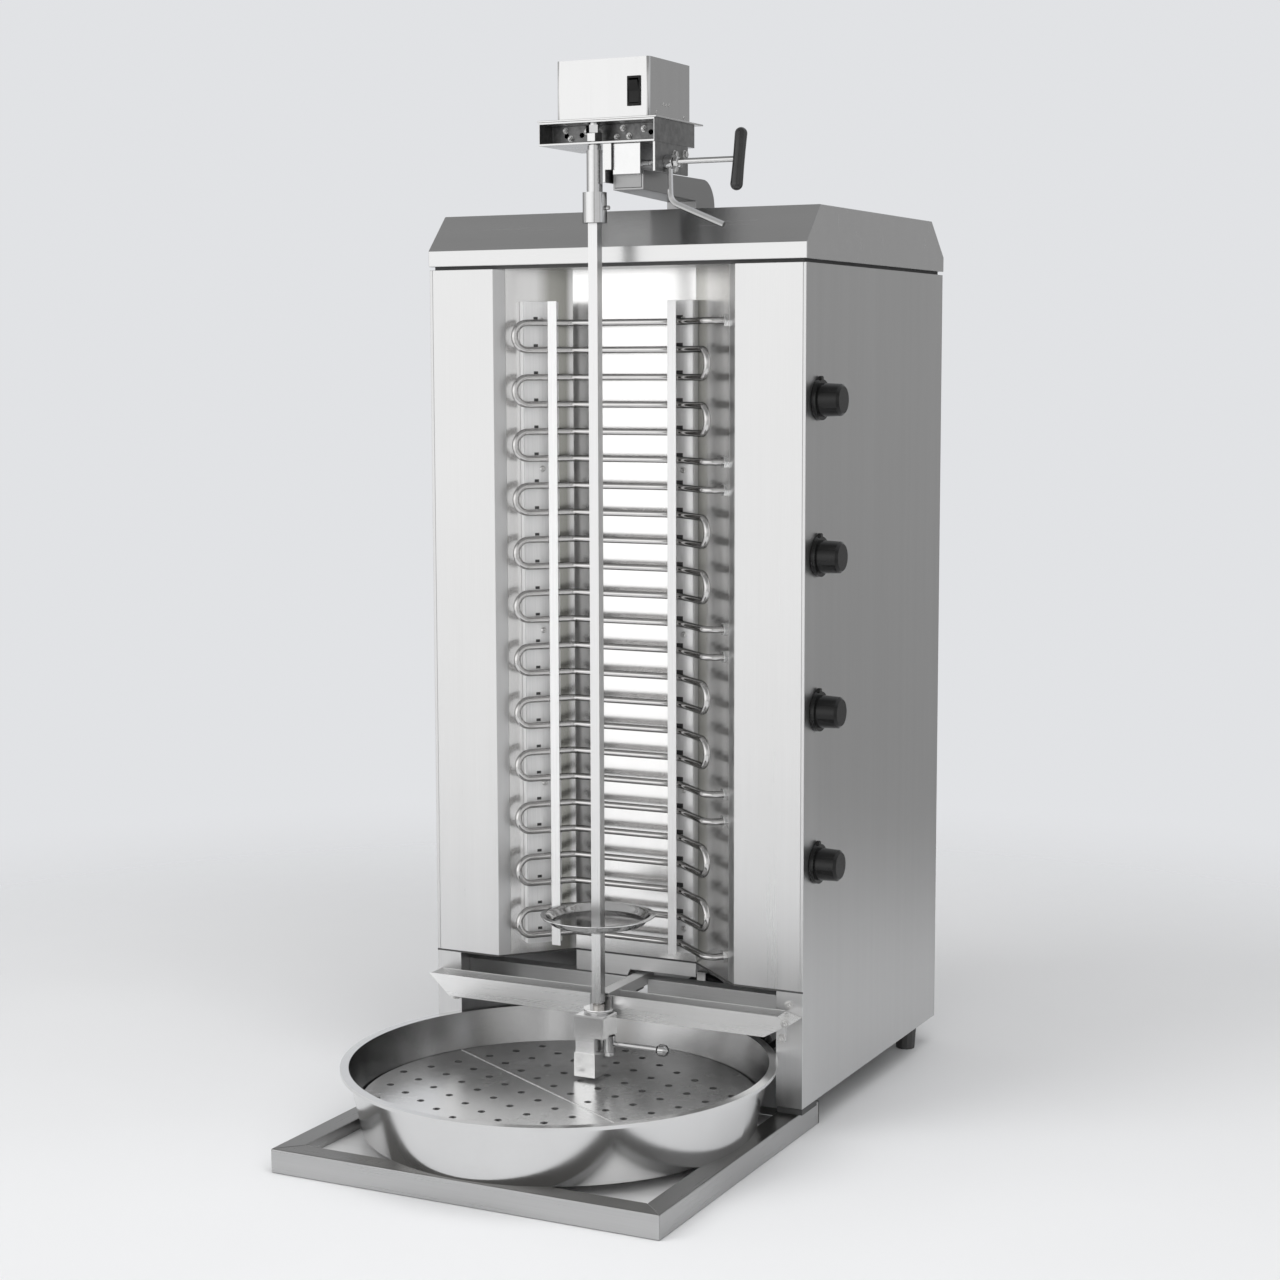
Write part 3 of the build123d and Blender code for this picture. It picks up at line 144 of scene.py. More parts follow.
def noise(tree, place, scale, detail, rough=0.5):
    """Soft irregular spots over the place."""
    return joined(tree, "TexNoise", {"Vector": place, "Scale": scale, "Detail": detail,
                                     "Roughness": rough}).outputs["Fac"]


def ring(radius, corners):
    """Corners spaced evenly round a circle."""
    turns = [2 * pi * corner / corners for corner in range(corners)]
    return [(radius * cos(turn), radius * sin(turn)) for turn in turns]


def added(name, data, material):
    """An object of the scene, from its mesh or curve and its material."""
    data.materials.append(material)
    thing = bpy.data.objects.new(name, data)
    bpy.context.collection.objects.link(thing)
    return thing


floor_paint, tree = blank("floor_paint")
spot = joined(tree, "TexCoord").outputs["Object"]
far = joined(tree, "VectorMath", {0: spot}, operation="LENGTH").outputs["Value"]
paint = ramp(tree, noise(tree, spot, 1.3, 3.0), [(0.3, paint_dark), (0.7, paint_light)])
matt = joined(tree, "BsdfPrincipled", {"Base Color": paint, "Roughness": 0.62,
                                       "Specular IOR Level": 0.25}).outputs[0]
clear = joined(tree, "BsdfTransparent").outputs[0]
fade = ramp(tree, spread(tree, far, fade_start, fade_end), [(0.0, 0.0), (1.0, 1.0)], "EASE")
joined(tree, "OutputMaterial", {
    "Surface": joined(tree, "MixShader", {0: fade, 1: matt, 2: clear}).outputs[0]})
floor_sheet = bpy.data.meshes.new("floor")
floor_sheet.from_pydata([(x, y, floor_height) for x, y in ring(floor_radius, floor_corners)], [],
                        [list(range(floor_corners))])
floor = added("floor", floor_sheet, floor_paint)

# Base frame: four square stainless tubes, mitred and welded at the front corners, ground flush and
# brushed along their length. The floor plate is let in between them and catches what drips past.


def stretched(tree, place, scales):
    """The place scaled along each axis, so that spots drawn on it become streaks."""
    return joined(tree, "Mapping", {"Vector": place, "Scale": scales}).outputs[0]


def rubbed_edges(tree, shade, bare, start, end, most):
    """Lightens a colour along the edges, where hands and cloths have rubbed the piece bare."""
    edge = joined(tree, "NewGeometry").outputs["Pointiness"]
    return mixed(tree, ramp(tree, edge, [(start, 0.0), (end, most)]), shade, bare)


def steel(name, tone=0.62, rough=0.27, grain="z", fine=900, streak=0.05, blotch=0.05, warm=0.0,
          dent=0.25, worn=0.0, wave=0.0, metal=1.0, upward_shade=0.0, rim=1.0):
    """Stainless sheet or bar: brushed along one axis, with wider streaks, the sheet's slow waves,
    rubbed edges and painted shade that darkens the faces lying upward."""
    stroke, wider, hair_depth = 0.012, 14, 0.00003
    painted_top_shade, bare_steel = (0.085, 0.08, 0.07, 1), (0.9, 0.9, 0.89, 1)
    material, tree = blank(name)
    place = joined(tree, "TexCoord").outputs["Object"]
    scales = [fine * stroke if axis == grain else fine for axis in "xyz"]
    hair = noise(tree, stretched(tree, place, scales), 1.0, 4.0, 0.6)
    band = noise(tree, stretched(tree, place, [scale / wider for scale in scales]), 1.0, 2.0)
    cloud = noise(tree, place, 7.0, 3.0)
    strokes = mixed(tree, 0.45, hair, band)
    shade = ramp(tree, strokes, [
        (spot, tuple(tone * (1 + change) * tint for tint in (1 + warm, 1, 1 - warm)))
        for spot, change in ((0.30, -streak), (0.70, streak))])
    low = spread(tree, strokes, 0.3, 0.7, rough * 0.86, rough * 1.16)
    gloss = joined(tree, "Math", {0: cloud, 1: blotch, 2: low}, operation="MULTIPLY_ADD").outputs[0]
    bump = joined(tree, "Bump", {"Strength": dent, "Distance": hair_depth,
                                 "Height": hair}).outputs[0]
    if wave:
        swell = noise(tree, place, 4.5, 1.0)
        bump = joined(tree, "Bump", {"Strength": 1.0, "Distance": wave, "Height": swell,
                                     "Normal": bump}).outputs[0]
    # Painted shade: faces lying upward are darkened toward a dark colour.
    if upward_shade:
        facing = joined(tree, "NewGeometry").outputs["Normal"]
        upward = joined(tree, "SeparateXYZ", {0: facing}).outputs["Z"]
        shade = mixed(tree, ramp(tree, upward, [(0.75, 0.0), (0.95, upward_shade)]), shade, painted_top_shade)
    if worn:
        shade = rubbed_edges(tree, shade, bare_steel, 0.50, 0.56, worn)
    surface = joined(tree, "BsdfPrincipled", {
        "Base Color": shade, "Metallic": metal, "Roughness": gloss, "Normal": bump,
        "Specular Tint": (rim, rim, rim, 1)})
    joined(tree, "OutputMaterial", {"Surface": surface.outputs[0]})
    return material


def dress(material, *names, edge=0.0):
    """Gives CAD pieces their finish and, where edge is set, the small round of a broken edge."""
    touching, sharp = 0.00001, radians(35)
    for name in names:
        piece = nodes[name]
        piece.data.materials.clear()
        piece.data.materials.append(material)
        if edge:
            weld = piece.modifiers.new("weld", "WELD")
            weld.merge_threshold = touching
            broken = piece.modifiers.new("broken", "BEVEL")
            broken.width = edge
            broken.segments = 2
            broken.limit_method = "ANGLE"
            broken.angle_limit = sharp
            broken.harden_normals = True


# The tubes' upward faces carry painted shade.
brushed_x = steel("brushed_x", grain="x", tone=0.50, upward_shade=0.74)
brushed_y = steel("brushed_y", grain="y", tone=0.44, upward_shade=0.62)
plate_floor = steel("plate_floor", grain="x", tone=0.78, rough=0.35, blotch=0.06, metal=0.12)
dress(brushed_x, "base_front_tube", "base_cross_tube", edge=0.0012)
dress(brushed_y, "base_side_tubes", edge=0.0012)
dress(plate_floor, "base_floor_plate")

# Black end plugs and rubber: moulded plugs are pressed into the tubes' rear ends, rubber pads carry
# the legs, and two tapered rubber feet stand under the rear corners.


def moulded(name, tone=0.03, rough=0.4, grain=900, dent=0.15, coat=0.0, rubbed=0.25, shine=0.5):
    """Moulded plastic or rubber: a fine grain, a little dust in the shade and rubbed edges."""
    skin_depth, bare_plastic = 0.00005, (0.16, 0.16, 0.16, 1)
    material, tree = blank(name)
    place = joined(tree, "TexCoord").outputs["Object"]
    skin = noise(tree, place, grain, 3.0)
    cloud = noise(tree, place, 22.0, 4.0)
    shade = ramp(tree, cloud, [(0.35, tone * 0.8), (0.7, tone * 1.35)])
    gloss = spread(tree, cloud, 0.3, 0.7, rough * 0.88, rough * 1.15)
    bump = joined(tree, "Bump", {"Strength": dent, "Distance": skin_depth,
                                 "Height": skin}).outputs[0]
    lit = rubbed_edges(tree, shade, bare_plastic, 0.53, 0.60, rubbed)
    surface = joined(tree, "BsdfPrincipled", {
        "Base Color": lit, "Roughness": gloss, "Normal": bump, "Coat Weight": coat,
        "Coat Roughness": 0.12, "Specular IOR Level": shine})
    joined(tree, "OutputMaterial", {"Surface": surface.outputs[0]})
    return material


# The same black is painted shade on the deck's edges and at the casing's foot.
rubber = moulded("rubber", tone=0.035, rough=0.62, grain=1400, dent=0.3)
plug_black = moulded("plug_black", tone=0.03, rough=0.45)
dress(plug_black, "base_tube_caps", edge=0.0006)
dress(rubber, "leg_pads", "rear_feet")

# Cabinet: side panels, two narrow front panels, rear panel and casing floor, all folded from 1.2 mm
# stainless sheet with a vertical grain. The cap is one folded sheet with a cross grain. Under it,
# the deck's edges are black: painted shade for the gap under the cap.


def finish_where(name, material, chosen):
    """Adds a finish to a CAD piece, on the faces chosen by their normal and their middle."""
    piece = nodes[name]
    piece.data.materials.append(material)
    finish = len(piece.data.materials) - 1
    for face in piece.data.polygons:
        if chosen(face.normal, piece.matrix_world @ face.center):
            face.material_index = finish


panel_steel = steel("panel_steel", grain="z", tone=0.64, rough=0.28, fine=700, streak=0.03,
                    wave=0.0012)
side_steel = steel("side_steel", grain="z", tone=0.61, rough=0.30, fine=700, streak=0.045,
                   wave=0.002)
rear_steel = steel("rear_steel", grain="z", tone=0.55, rough=0.36)
inner_steel = steel("inner_steel", grain="x", tone=0.50, rough=0.36)
cap_steel = steel("cap_steel", grain="x", tone=0.62, rough=0.22, fine=800, streak=0.03, wave=0.0012)
dress(panel_steel, "front_panel_left", "front_panel_right", edge=0.0006)
dress(side_steel, "side_panel_left", "side_panel_right", edge=0.0006)
dress(rear_steel, "rear_panel")
dress(inner_steel, "casing_floor", "cabinet_deck")
# Painted shade: the deck's edge faces are black, for the gap under the cap.
finish_where("cabinet_deck", rubber, lambda normal, middle: abs(normal.z) < 0.5)
dress(cap_steel, "cap", edge=0.001)

# Reflector: one bright annealed sheet folded into the recess. It mirrors the tubes, and painted
# shade darkens it beside its folds, behind the supports. A thin black strip at the casing's foot is
# painted shade for the dark gap there.
half_width = 250
mouth_left, fold_left = Vector((-161, 0)), Vector((-92, 77))
fold_right, mouth_right = Vector((75, 77)), Vector((161, 0))
shadow_strip_in, shadow_strip_out, shadow_strip_low, shadow_strip_high = -0.4, 0.3, 175.1, 177.3
shade_reach = 0.17


def darkened_by(material, darkening):
    """Darkens a finish's colour by a factor that differs over its surface."""
    tree = material.node_tree
    surface = next(node for node in tree.nodes if node.type == "BSDF_PRINCIPLED")
    colour = surface.inputs["Base Color"]
    tree.links.new(mixed(tree, 1.0, colour.links[0].from_socket, darkening, "MULTIPLY"), colour)


def looped(name, rows, capped=True):
    """A mesh from rows of loops, in millimetres: the loops of a row are joined corner to corner,
    and a capped row is closed over its first and its last loop."""
    corners, faces = [], []
    for row in rows:
        first, count = len(corners), len(row[0])
        corners += [Vector(corner) / 1000 for loop in row for corner in loop]
        last = len(corners) - 1
        if capped:
            faces += [list(range(first, first + count)), list(range(last, last - count, -1))]
        for start in range(first, last + 1 - count, count):
            for here in range(count):
                after = (here + 1) % count
                faces.append([start + here, start + count + here,
                              start + count + after, start + after])
    data = bpy.data.meshes.new(name)
    data.from_pydata(corners, [], faces)
    data.update()
    return data


def fixed(name, data, material, body):
    """A piece of the grill, of one material, that goes with a body of the frame."""
    piece = added(name, data, material)
    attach(piece, body)
    return piece


# Painted shadow: a thin black band along the dark gap at the casing's foot.
shadow_strip_line = [Vector((-half_width, 0)), mouth_left, fold_left, fold_right, mouth_right,
              Vector((half_width, 0))]
shadow_strip_runs = [(end - start).normalized() for start, end in zip(shadow_strip_line, shadow_strip_line[1:])]
shadow_strip_loops = []
for spot, before, after in zip(shadow_strip_line, shadow_strip_runs[:1] + shadow_strip_runs,
                               shadow_strip_runs + shadow_strip_runs[-1:]):
    facing = Vector((before.y, -before.x))
    mitre = (facing + Vector((after.y, -after.x))).normalized()
    mitre /= mitre.dot(facing)
    shadow_strip_loops.append([(*(spot + mitre * deep), z) for deep, z in (
        (shadow_strip_in, shadow_strip_low), (shadow_strip_out, shadow_strip_low),
        (shadow_strip_out, shadow_strip_high), (shadow_strip_in, shadow_strip_high))])
fixed("foot_shadow_strip", looped("foot_shadow_strip", [shadow_strip_loops]), rubber, "cabinet")

reflector_steel = steel("reflector_steel", grain="z", tone=0.86, rough=0.17, fine=500, streak=0.03,
                        warm=0.006, wave=0.0015)
tree = reflector_steel.node_tree
place = joined(tree, "TexCoord").outputs["Object"]
across = spread(tree, joined(tree, "SeparateXYZ", {0: place}).outputs["X"],
                -shade_reach, shade_reach)
# Painted shade: the sheet is darkened in bands beside its folds, behind the supports.
darkened_by(reflector_steel, ramp(tree, across, [
    (0.0, 1.0), (0.135, 1.0), (0.17, (0.50, 0.50, 0.47)), (0.212, (0.40, 0.40, 0.37)),
    (0.222, 0.85), (0.232, 1.0), (0.718, 1.0), (0.726, (0.60, 0.60, 0.58)),
    (0.775, (0.74, 0.74, 0.71)), (0.81, 0.98), (1.0, 1.0)]))
dress(reflector_steel, "reflector")

# Apron, cross rail, lower arm and gutter: brushed sheet and square tube across the foot of the
# recess. The gutter is bent from one strip with welded ends, and nuts on studs hold it to the legs.
to_front, to_rear, to_left, to_right, up = (0, -1, 0), (0, 1, 0), (-1, 0, 0), (1, 0, 0), (0, 0, 1)
foot_steel = steel("foot_steel", grain="x", tone=0.72, rough=0.36, metal=0.55)
lower_arm_steel = steel("lower_arm_steel", grain="y", tone=0.66, rough=0.28, metal=0.8)
gutter_steel = steel("gutter_steel", grain="x", tone=0.78, rough=0.26, worn=0.3, wave=0.001,
                     metal=0.75)
zinc = steel("zinc", grain="none", tone=0.62, rough=0.28, fine=700, streak=0.12, warm=0.01,
             worn=0.4)
dress(foot_steel, "apron")
dress(foot_steel, "cross_rail", edge=0.0008)
dress(lower_arm_steel, "lower_arm", edge=0.0008)
dress(gutter_steel, "gutter", edge=0.0005)


def turned_pieces(name, body, material, places, forms):
    """Like small pieces in one mesh, each set at a place and aimed along a direction. A form is a
    number of sides and a profile of radius and height, from the top down."""
    rows = []
    for x, y, z, aim in places:
        turn = Vector(aim).to_track_quat("Z", "Y").to_matrix()
        for sides, profile in forms:
            rows.append([[Vector((x, y, z)) + turn @ Vector((*corner, rise))
                          for corner in ring(radius, sides)] for radius, rise in profile])
    data = looped(name, rows)
    data.shade_smooth()
    data.set_sharp_from_angle(angle=radians(32))
    return fixed(name, data, material, body)


hex_bolt = [(24, [(5.0, 0.9), (5.2, 0.7), (5.2, 0.0)]), (6, [(3.4, 4.0), (4.1, 3.6), (4.1, 0.9)])]
nut_on_stud = [(24, [(5.2, 0.9), (5.4, 0.7), (5.4, 0.0)]),
               (6, [(3.6, 4.2), (4.3, 3.8), (4.3, 1.2), (4.0, 0.9)]),
               (14, [(1.6, 6.2), (2.1, 5.7), (2.1, 4.2)])]
turned_pieces("gutter_bolts", "cabinet", zinc,
              [(x, y, z, to_front) for x, y, z in (
                  (-224, -3, 119.5), (224, -3, 119.5), (240, -30, 146), (232, 0, 160))],
              nut_on_stud)

# Heaters: four stainless-sheathed elements of 8 mm tube, each bent six times up and down the recess
# and hooked into slotted supports. Both ends leave through the right wall with a nut each.
heater_count, passes, first_pass, pass_pitch = 4, 6, 205.5, 32.9
heater_radius, corner_bend, left_wing, right_wing, end_reach = 4, 14, 73.4, 81.6, 22
turn_bend = pass_pitch / 2 - 0.1
stand_off = 24.5
middle_y = fold_left.y - stand_off


def corner_on(start, end):
    """Where the line moved into the recess by the stand-off meets the middle run."""
    run = end - start
    base = start + Vector((run.y, -run.x)).normalized() * stand_off
    return base + run * ((middle_y - base.y) / run.y)


left_corner = corner_on(mouth_left, fold_left)
right_corner = corner_on(fold_right, mouth_right)
left_tip = left_corner + (mouth_left - fold_left).normalized() * left_wing
right_tip = right_corner + (mouth_right - fold_right).normalized() * right_wing
inward = Vector((fold_right.y - mouth_right.y, mouth_right.x - fold_right.x)).normalized()
end_spot = right_tip + inward * (stand_off + end_reach)


def bent(points, radii, steps=8):
    """Points along straight runs joined by arcs, for a tube bent on formers."""
    path = [points[0]]
    for before, here, after, radius in zip(points, points[1:], points[2:], radii):
        back = (before - here).normalized()
        on = (after - here).normalized()
        turn = pi - back.angle(on)
        cut = radius * tan(turn / 2)
        middle = here + (back + on).normalized() * (radius / cos(turn / 2))
        start = here + back * cut - middle
        end = here + on * cut - middle
        axis = start.cross(end).normalized()
        for step in range(steps + 1):
            path.append(middle + Matrix.Rotation(turn * step / steps, 3, axis) @ start)
    path.append(points[-1])
    return path


def tube(name, kind, routes, radius):
    """Round tubes along routes in millimetres, as one curve."""
    line = bpy.data.curves.new(name, "CURVE")
    line.dimensions = "3D"
    line.bevel_depth = radius / 1000
    line.bevel_resolution = 5
    line.use_fill_caps = True
    for route in routes:
        run = line.splines.new(kind)
        run.points.add(len(route) - 1)
        for point, (x, y, z) in zip(run.points, route):
            point.co = (x / 1000, y / 1000, z / 1000, 1)
    return line


sheath = steel("sheath", grain="none", tone=0.62, rough=0.10, fine=300, streak=0.06, blotch=0.04,
               warm=0.012, dent=0.03, rim=0.02)
heater_paths = []
for heater in range(heater_count):
    first = first_pass + heater * passes * pass_pitch
    points = [Vector((*end_spot, first))]
    for level in range(passes):
        corners = [right_tip, right_corner, left_corner, left_tip]
        if level % 2:
            corners.reverse()
        points += [Vector((*corner, first + level * pass_pitch)) for corner in corners]
    points.append(Vector((*end_spot, points[-1].z)))
    radii = [turn_bend, corner_bend, corner_bend, turn_bend] * passes
    radii[0] = radii[-1] = corner_bend
    heater_paths.append(bent(points, radii))
heater_tubes = fixed("heater_tubes", tube("heater_tubes", "POLY", heater_paths, heater_radius),
                     sheath, "cabinet")
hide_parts("heaters")

# Heater supports: folded strips of brushed sheet with a window for each pass, on hexagon spacers
# and held by small button-headed screws. Thin dark plates at the windows and slots are painted
# shade. The bright nuts hold the heaters' ends in the wall.
support_middle, support_height = 590, 796
support_steel = steel("support_steel", grain="z", tone=0.84, rough=0.32, fine=900, streak=0.09,
                      metal=0.35)
opening_shade = steel("opening_shade", grain="z", tone=0.11, rough=0.4)
bright_nut = steel("bright_nut", grain="none", tone=0.88, rough=0.16, fine=700, worn=0.5)
dress(support_steel, "heater_support_left", "heater_support_right", edge=0.0003)
dress(zinc, "support_spacers", "cord_clip", edge=0.0004)
dress(bright_nut, "heater_nuts", edge=0.0006)


def slabs(name, material, plates):
    """Thin upright plates on the cabinet, in one mesh: middle, direction along the plate, width,
    height, and how far its outer and inner face lie out from the middle."""
    rows = []
    for middle, way, width, height, outer, inner in plates:
        along = Vector((*way, 0)).normalized()
        out = Vector((along.y, -along.x, 0))
        rise = Vector((0, 0, height / 2))
        rows.append([[Vector(middle) + along * (side * width / 2) + rise * end + out * deep
                      for side, end in ((-1, -1), (1, -1), (1, 1), (-1, 1))]
                     for deep in (outer, inner)])
    fixed(name, looped(name, rows), material, "cabinet")


slabs("support_returns", support_steel, [
    ((-133.0, 21.5, support_middle), (0.745, -0.667), 11.6, support_height, 0.6, -0.6),
    ((79.3, 69.2, support_middle), (0, 1), 15, support_height, 0.5, -0.5)])
left_way = (fold_left - mouth_left).normalized()
# Thin dark plates at each pass stand for the shade in the windows and slots: painted shade.
shade_plates = []
for index in range(heater_count * passes):
    level = first_pass + pass_pitch * index
    shade_plates.append(((60.5, 59.8, level + 5.2), (1, 0), 10.5, 5.4, 0.15, -0.3))
    for away, wide, tall in ((5.5, 5.0, 4.6), (30, 5.5, 3.4)):
        spot = Vector((-98, 50.6)) - left_way * away
        shade_plates.append(((*spot, level + 5.6), left_way, wide, tall, 1.35, 1.0))
slabs("support_opening_shade", opening_shade, shade_plates)
button_head = [(20, [(1.2, 0.9), (1.35, 2.0), (2.2, 2.1), (3.1, 1.5), (3.7, 0.5), (3.75, 0.0)])]
from_left_wing = (left_way.y, -left_way.x, 0)
turned_pieces("support_screws", "cabinet", zinc,
              [(x, y, z, aim) for z in (222, 395, 586, 785, 965)
               for x, y, aim in ((-112.1, 33.0, from_left_wing), (66.4, 59.8, to_front))],
              button_head)

# Regulators and knobs: the plastic regulators are fixed behind the right panel. Each knob is
# moulded in glossy black with a round flange, a slightly domed face and a raised pointer.
first_knob, knob_pitch, knob_y = 324.3, 182, 38
pointer_back, pointer_front = 250.9, 255.3
pointer_outline = [(-4.0, 22.8), (-3.2, 26.6), (-1.2, 27.6), (1.2, 27.6), (3.2, 26.6), (4.0, 22.8)]
regulator_body = moulded("regulator_body", tone=0.55, rough=0.5)
knob_black = moulded("knob_black", tone=0.007, rough=0.16, grain=700, dent=0.05, coat=0.12,
                     rubbed=0.03, shine=0.25)
dress(regulator_body, "regulators", edge=0.0008)
dress(knob_black, "knob_1", "knob_2", "knob_3", "knob_4")
for number in range(4):
    knob_z = first_knob + knob_pitch * number
    loops = [[(x, knob_y + across, knob_z + rise) for across, rise in pointer_outline]
             for x in (pointer_back, pointer_front)]
    name = f"knob_pointer_{number + 1}"
    pointer = fixed(name, looped(name, [loops]), knob_black, f"knob_{number + 1}")
    moulded_edge = pointer.modifiers.new("moulded_edge", "BEVEL")
    moulded_edge.width = 0.0006
    moulded_edge.segments = 2

# Pan: rolled and seam-welded from bright sheet, ground and polished, with a rolled rim. Its inner
# wall is darker in uneven upright stripes.
pan_y, under_rim = -140, 0.098
pan_steel = steel("pan_steel", grain="none", tone=0.70, rough=0.14, fine=300, streak=0.03,
                  blotch=0.08, wave=0.0008)
pan_inside = steel("pan_inside", grain="none", tone=0.60, rough=0.15, fine=500, streak=0.06,
                   blotch=0.12, dent=0.05, wave=0.0016)
tree = pan_inside.node_tree
upright = stretched(tree, joined(tree, "TexCoord").outputs["Object"], (9, 9, 0.9))
darkened_by(pan_inside, ramp(tree, noise(tree, upright, 1.0, 1.5), [
    (0.34, (0.34, 0.33, 0.31)), (0.48, 0.62), (0.60, 1.0)]))


def inside_pan(normal, middle):
    """Faces below the rim that look toward the pan's axis."""
    outward = normal.x * middle.x + normal.y * (middle.y - pan_y / 1000)
    return outward < -0.05 and middle.z < under_rim


dress(pan_steel, "pan")
finish_where("pan", pan_inside, inside_pan)

# Insert: a perforated disc of polished sheet in two halves, which lies in the pan on short feet.
# The front half has a hemmed edge along the split, drawn as a strip of painted highlight. Each
# drain hole shows as a dark ring of painted shade, shaped like a pressed rim.
split_angle, insert_radius, bead_near, bead_far = radians(-30), 232.5, 0.6, 2.1
bead_low, bead_high = 56.9, 57.4
drain_pitch, drain_field, drain_corners = 38, 218, 14
hole_shade_profile = [(3.0, 56.8), (3.1, 57.12), (4.1, 57.18), (4.4, 57.02)]
insert_steel = steel("insert_steel", grain="none", tone=0.84, rough=0.20, fine=1100, streak=0.05,
                     blotch=0.10, wave=0.0022, metal=0.9)
hem_highlight = steel("hem_highlight", grain="none", tone=0.9, rough=0.25, fine=600, metal=0.6)
hole_shade = steel("hole_shade", grain="none", tone=0.10, rough=0.35, fine=600)
dress(insert_steel, "insert_front", "insert_rear")

pan_middle = Vector((0, pan_y))
split_way = Vector((cos(split_angle), sin(split_angle)))
split_side = Vector((split_way.y, -split_way.x))
# The strip along the split is a lighter, more diffuse copy of the insert's steel: painted
# highlight.
bead_loops = [[(*(pan_middle + split_way * run + split_side * across), z) for across, z in (
    (bead_near, bead_low), (bead_near, bead_high), (bead_far, bead_high), (bead_far, bead_low))]
    for run in (-insert_radius, insert_radius)]
fixed("hem_highlight_strip", looped("hem_highlight_strip", [bead_loops]), hem_highlight, "insert_front")

# Dark rings over the insert stand for the drain holes: painted shade.
for name, body, sign, first_row in (("drain_shade_front", "insert_front", 1, 30),
                                    ("drain_shade_rear", "pan", -1, 15)):
    rows = []
    for line in range(5):
        away = first_row + drain_pitch * line
        columns = int((drain_field ** 2 - away ** 2) ** 0.5 // drain_pitch)
        for column in range(-columns, columns + 1):
            hole = pan_middle + split_way * (drain_pitch * column) + split_side * (sign * away)
            rows.append([[(hole.x + x, hole.y + y, z) for x, y in ring(radius, drain_corners)]
                         for radius, z in hole_shade_profile])
    data = looped(name, rows, capped=False)
    data.shade_smooth()
    fixed(name, data, hole_shade, body)

# Spit and its lower bearing: a square bar with a turned pin, a pressed disc, and a machined block
# whose oiled bush holds the pin. The block slides on a bar inside the lower arm.
spit_steel = steel("spit_steel", grain="z", tone=0.66, rough=0.25)
disc_steel = steel("disc_steel", grain="none", tone=0.88, rough=0.09, fine=400, streak=0.03,
                   dent=0.05, rim=0.4)
machined = steel("machined", grain="x", tone=0.80, rough=0.15, streak=0.07, worn=0.5, metal=0.9)
turned_bar = steel("turned_bar", grain="none", tone=0.62, rough=0.09, fine=300, streak=0.04,
                   dent=0.03, rim=0.05)
oiled_bush = steel("oiled_bush", grain="none", tone=0.50, rough=0.26, warm=0.04)
dress(spit_steel, "spit", edge=0.0006)
dress(disc_steel, "spit_disc", edge=0.0004)
dress(machined, "bearing_block", edge=0.0005)
dress(turned_bar, "carriage_lever", "lever_ball", "output_shaft", "drive_sleeve",
      "coupling_sleeve", "clamp_screw", "bent_lever")
dress(brushed_y, "slide_bar")
dress(oiled_bush, "bearing_bush")

# Motor head: the support arm is a deep channel bolted to the cap. The head's tray, saddle and top
# plate are bent from heavy sheet, and the cover is a thin polished box over the gear motor.
arm_steel = steel("arm_steel", grain="y", tone=0.36, rough=0.30)
block_steel = steel("block_steel", grain="none", tone=0.70, rough=0.22)
block_tongue_shade = steel("block_tongue_shade", grain="none", tone=0.34, rough=0.34)
head_steel = steel("head_steel", grain="x", tone=0.60, rough=0.25, worn=0.3)
# Painted shade: a dark copy of the head's steel for the faces on its right side.
head_right_shade = steel("head_right_shade", grain="none", tone=0.27, rough=0.30, fine=120, streak=0.35,
                  blotch=0.15, dent=0.4)
# Painted shade: a dark mottled copy of the head's steel for the tray's inner faces and saddle
# walls.
tray_inside_shade = steel("tray_inside_shade", grain="none", tone=0.20, rough=0.30, fine=160, streak=0.55,
                    blotch=0.2, dent=0.6)
cover_steel = steel("cover_steel", grain="z", tone=0.62, rough=0.15, streak=0.03, wave=0.0011)
cast_motor = steel("cast_motor", grain="none", tone=0.45, rough=0.5, dent=0.8, fine=300)
tray_left, tray_right, tray_back = -0.063, 0.085, -0.045
tray_middle, tray_half, tray_low, tray_high = 0.011, 0.0745, 1.166, 1.1912
saddle_left, saddle_right, head_right, tongue_top = 0.0195, 0.0845, 0.0855, 1.1285


def inside_tray(normal, middle):
    """The back, the two sides and the floor of the tray, seen from inside it."""
    within = tray_left < middle.x < tray_right and tray_low < middle.z < tray_high
    back = normal.y < -0.5 and middle.y > tray_back
    sides = abs(normal.x) > 0.5 and abs(middle.x - tray_middle) < tray_half
    return within and (back or sides or normal.z > 0.5)


def inside_saddle(normal, middle):
    """The faces of the saddle's two walls that look at each other."""
    return saddle_left < middle.x < saddle_right and abs(normal.x) > 0.5


def right_of_head(normal, middle):
    """The outer faces on the head's right side."""
    return normal.x > 0.5 and middle.x > head_right


dress(arm_steel, "support_arm", edge=0.0008)
dress(block_steel, "slide_block", edge=0.0006)
# Painted shade: the block's faces below the tongue's top get a darker copy of its steel.
finish_where("slide_block", block_tongue_shade, lambda normal, middle: middle.z < tongue_top)
dress(head_steel, "head_tray", "head_saddle", "head_top_plate", edge=0.0005)
for name, hollow in (("head_tray", inside_tray), ("head_saddle", inside_saddle)):
    finish_where(name, tray_inside_shade, hollow)
    finish_where(name, head_right_shade, right_of_head)
dress(cover_steel, "motor_cover", edge=0.0008)
dress(cast_motor, "gear_motor")

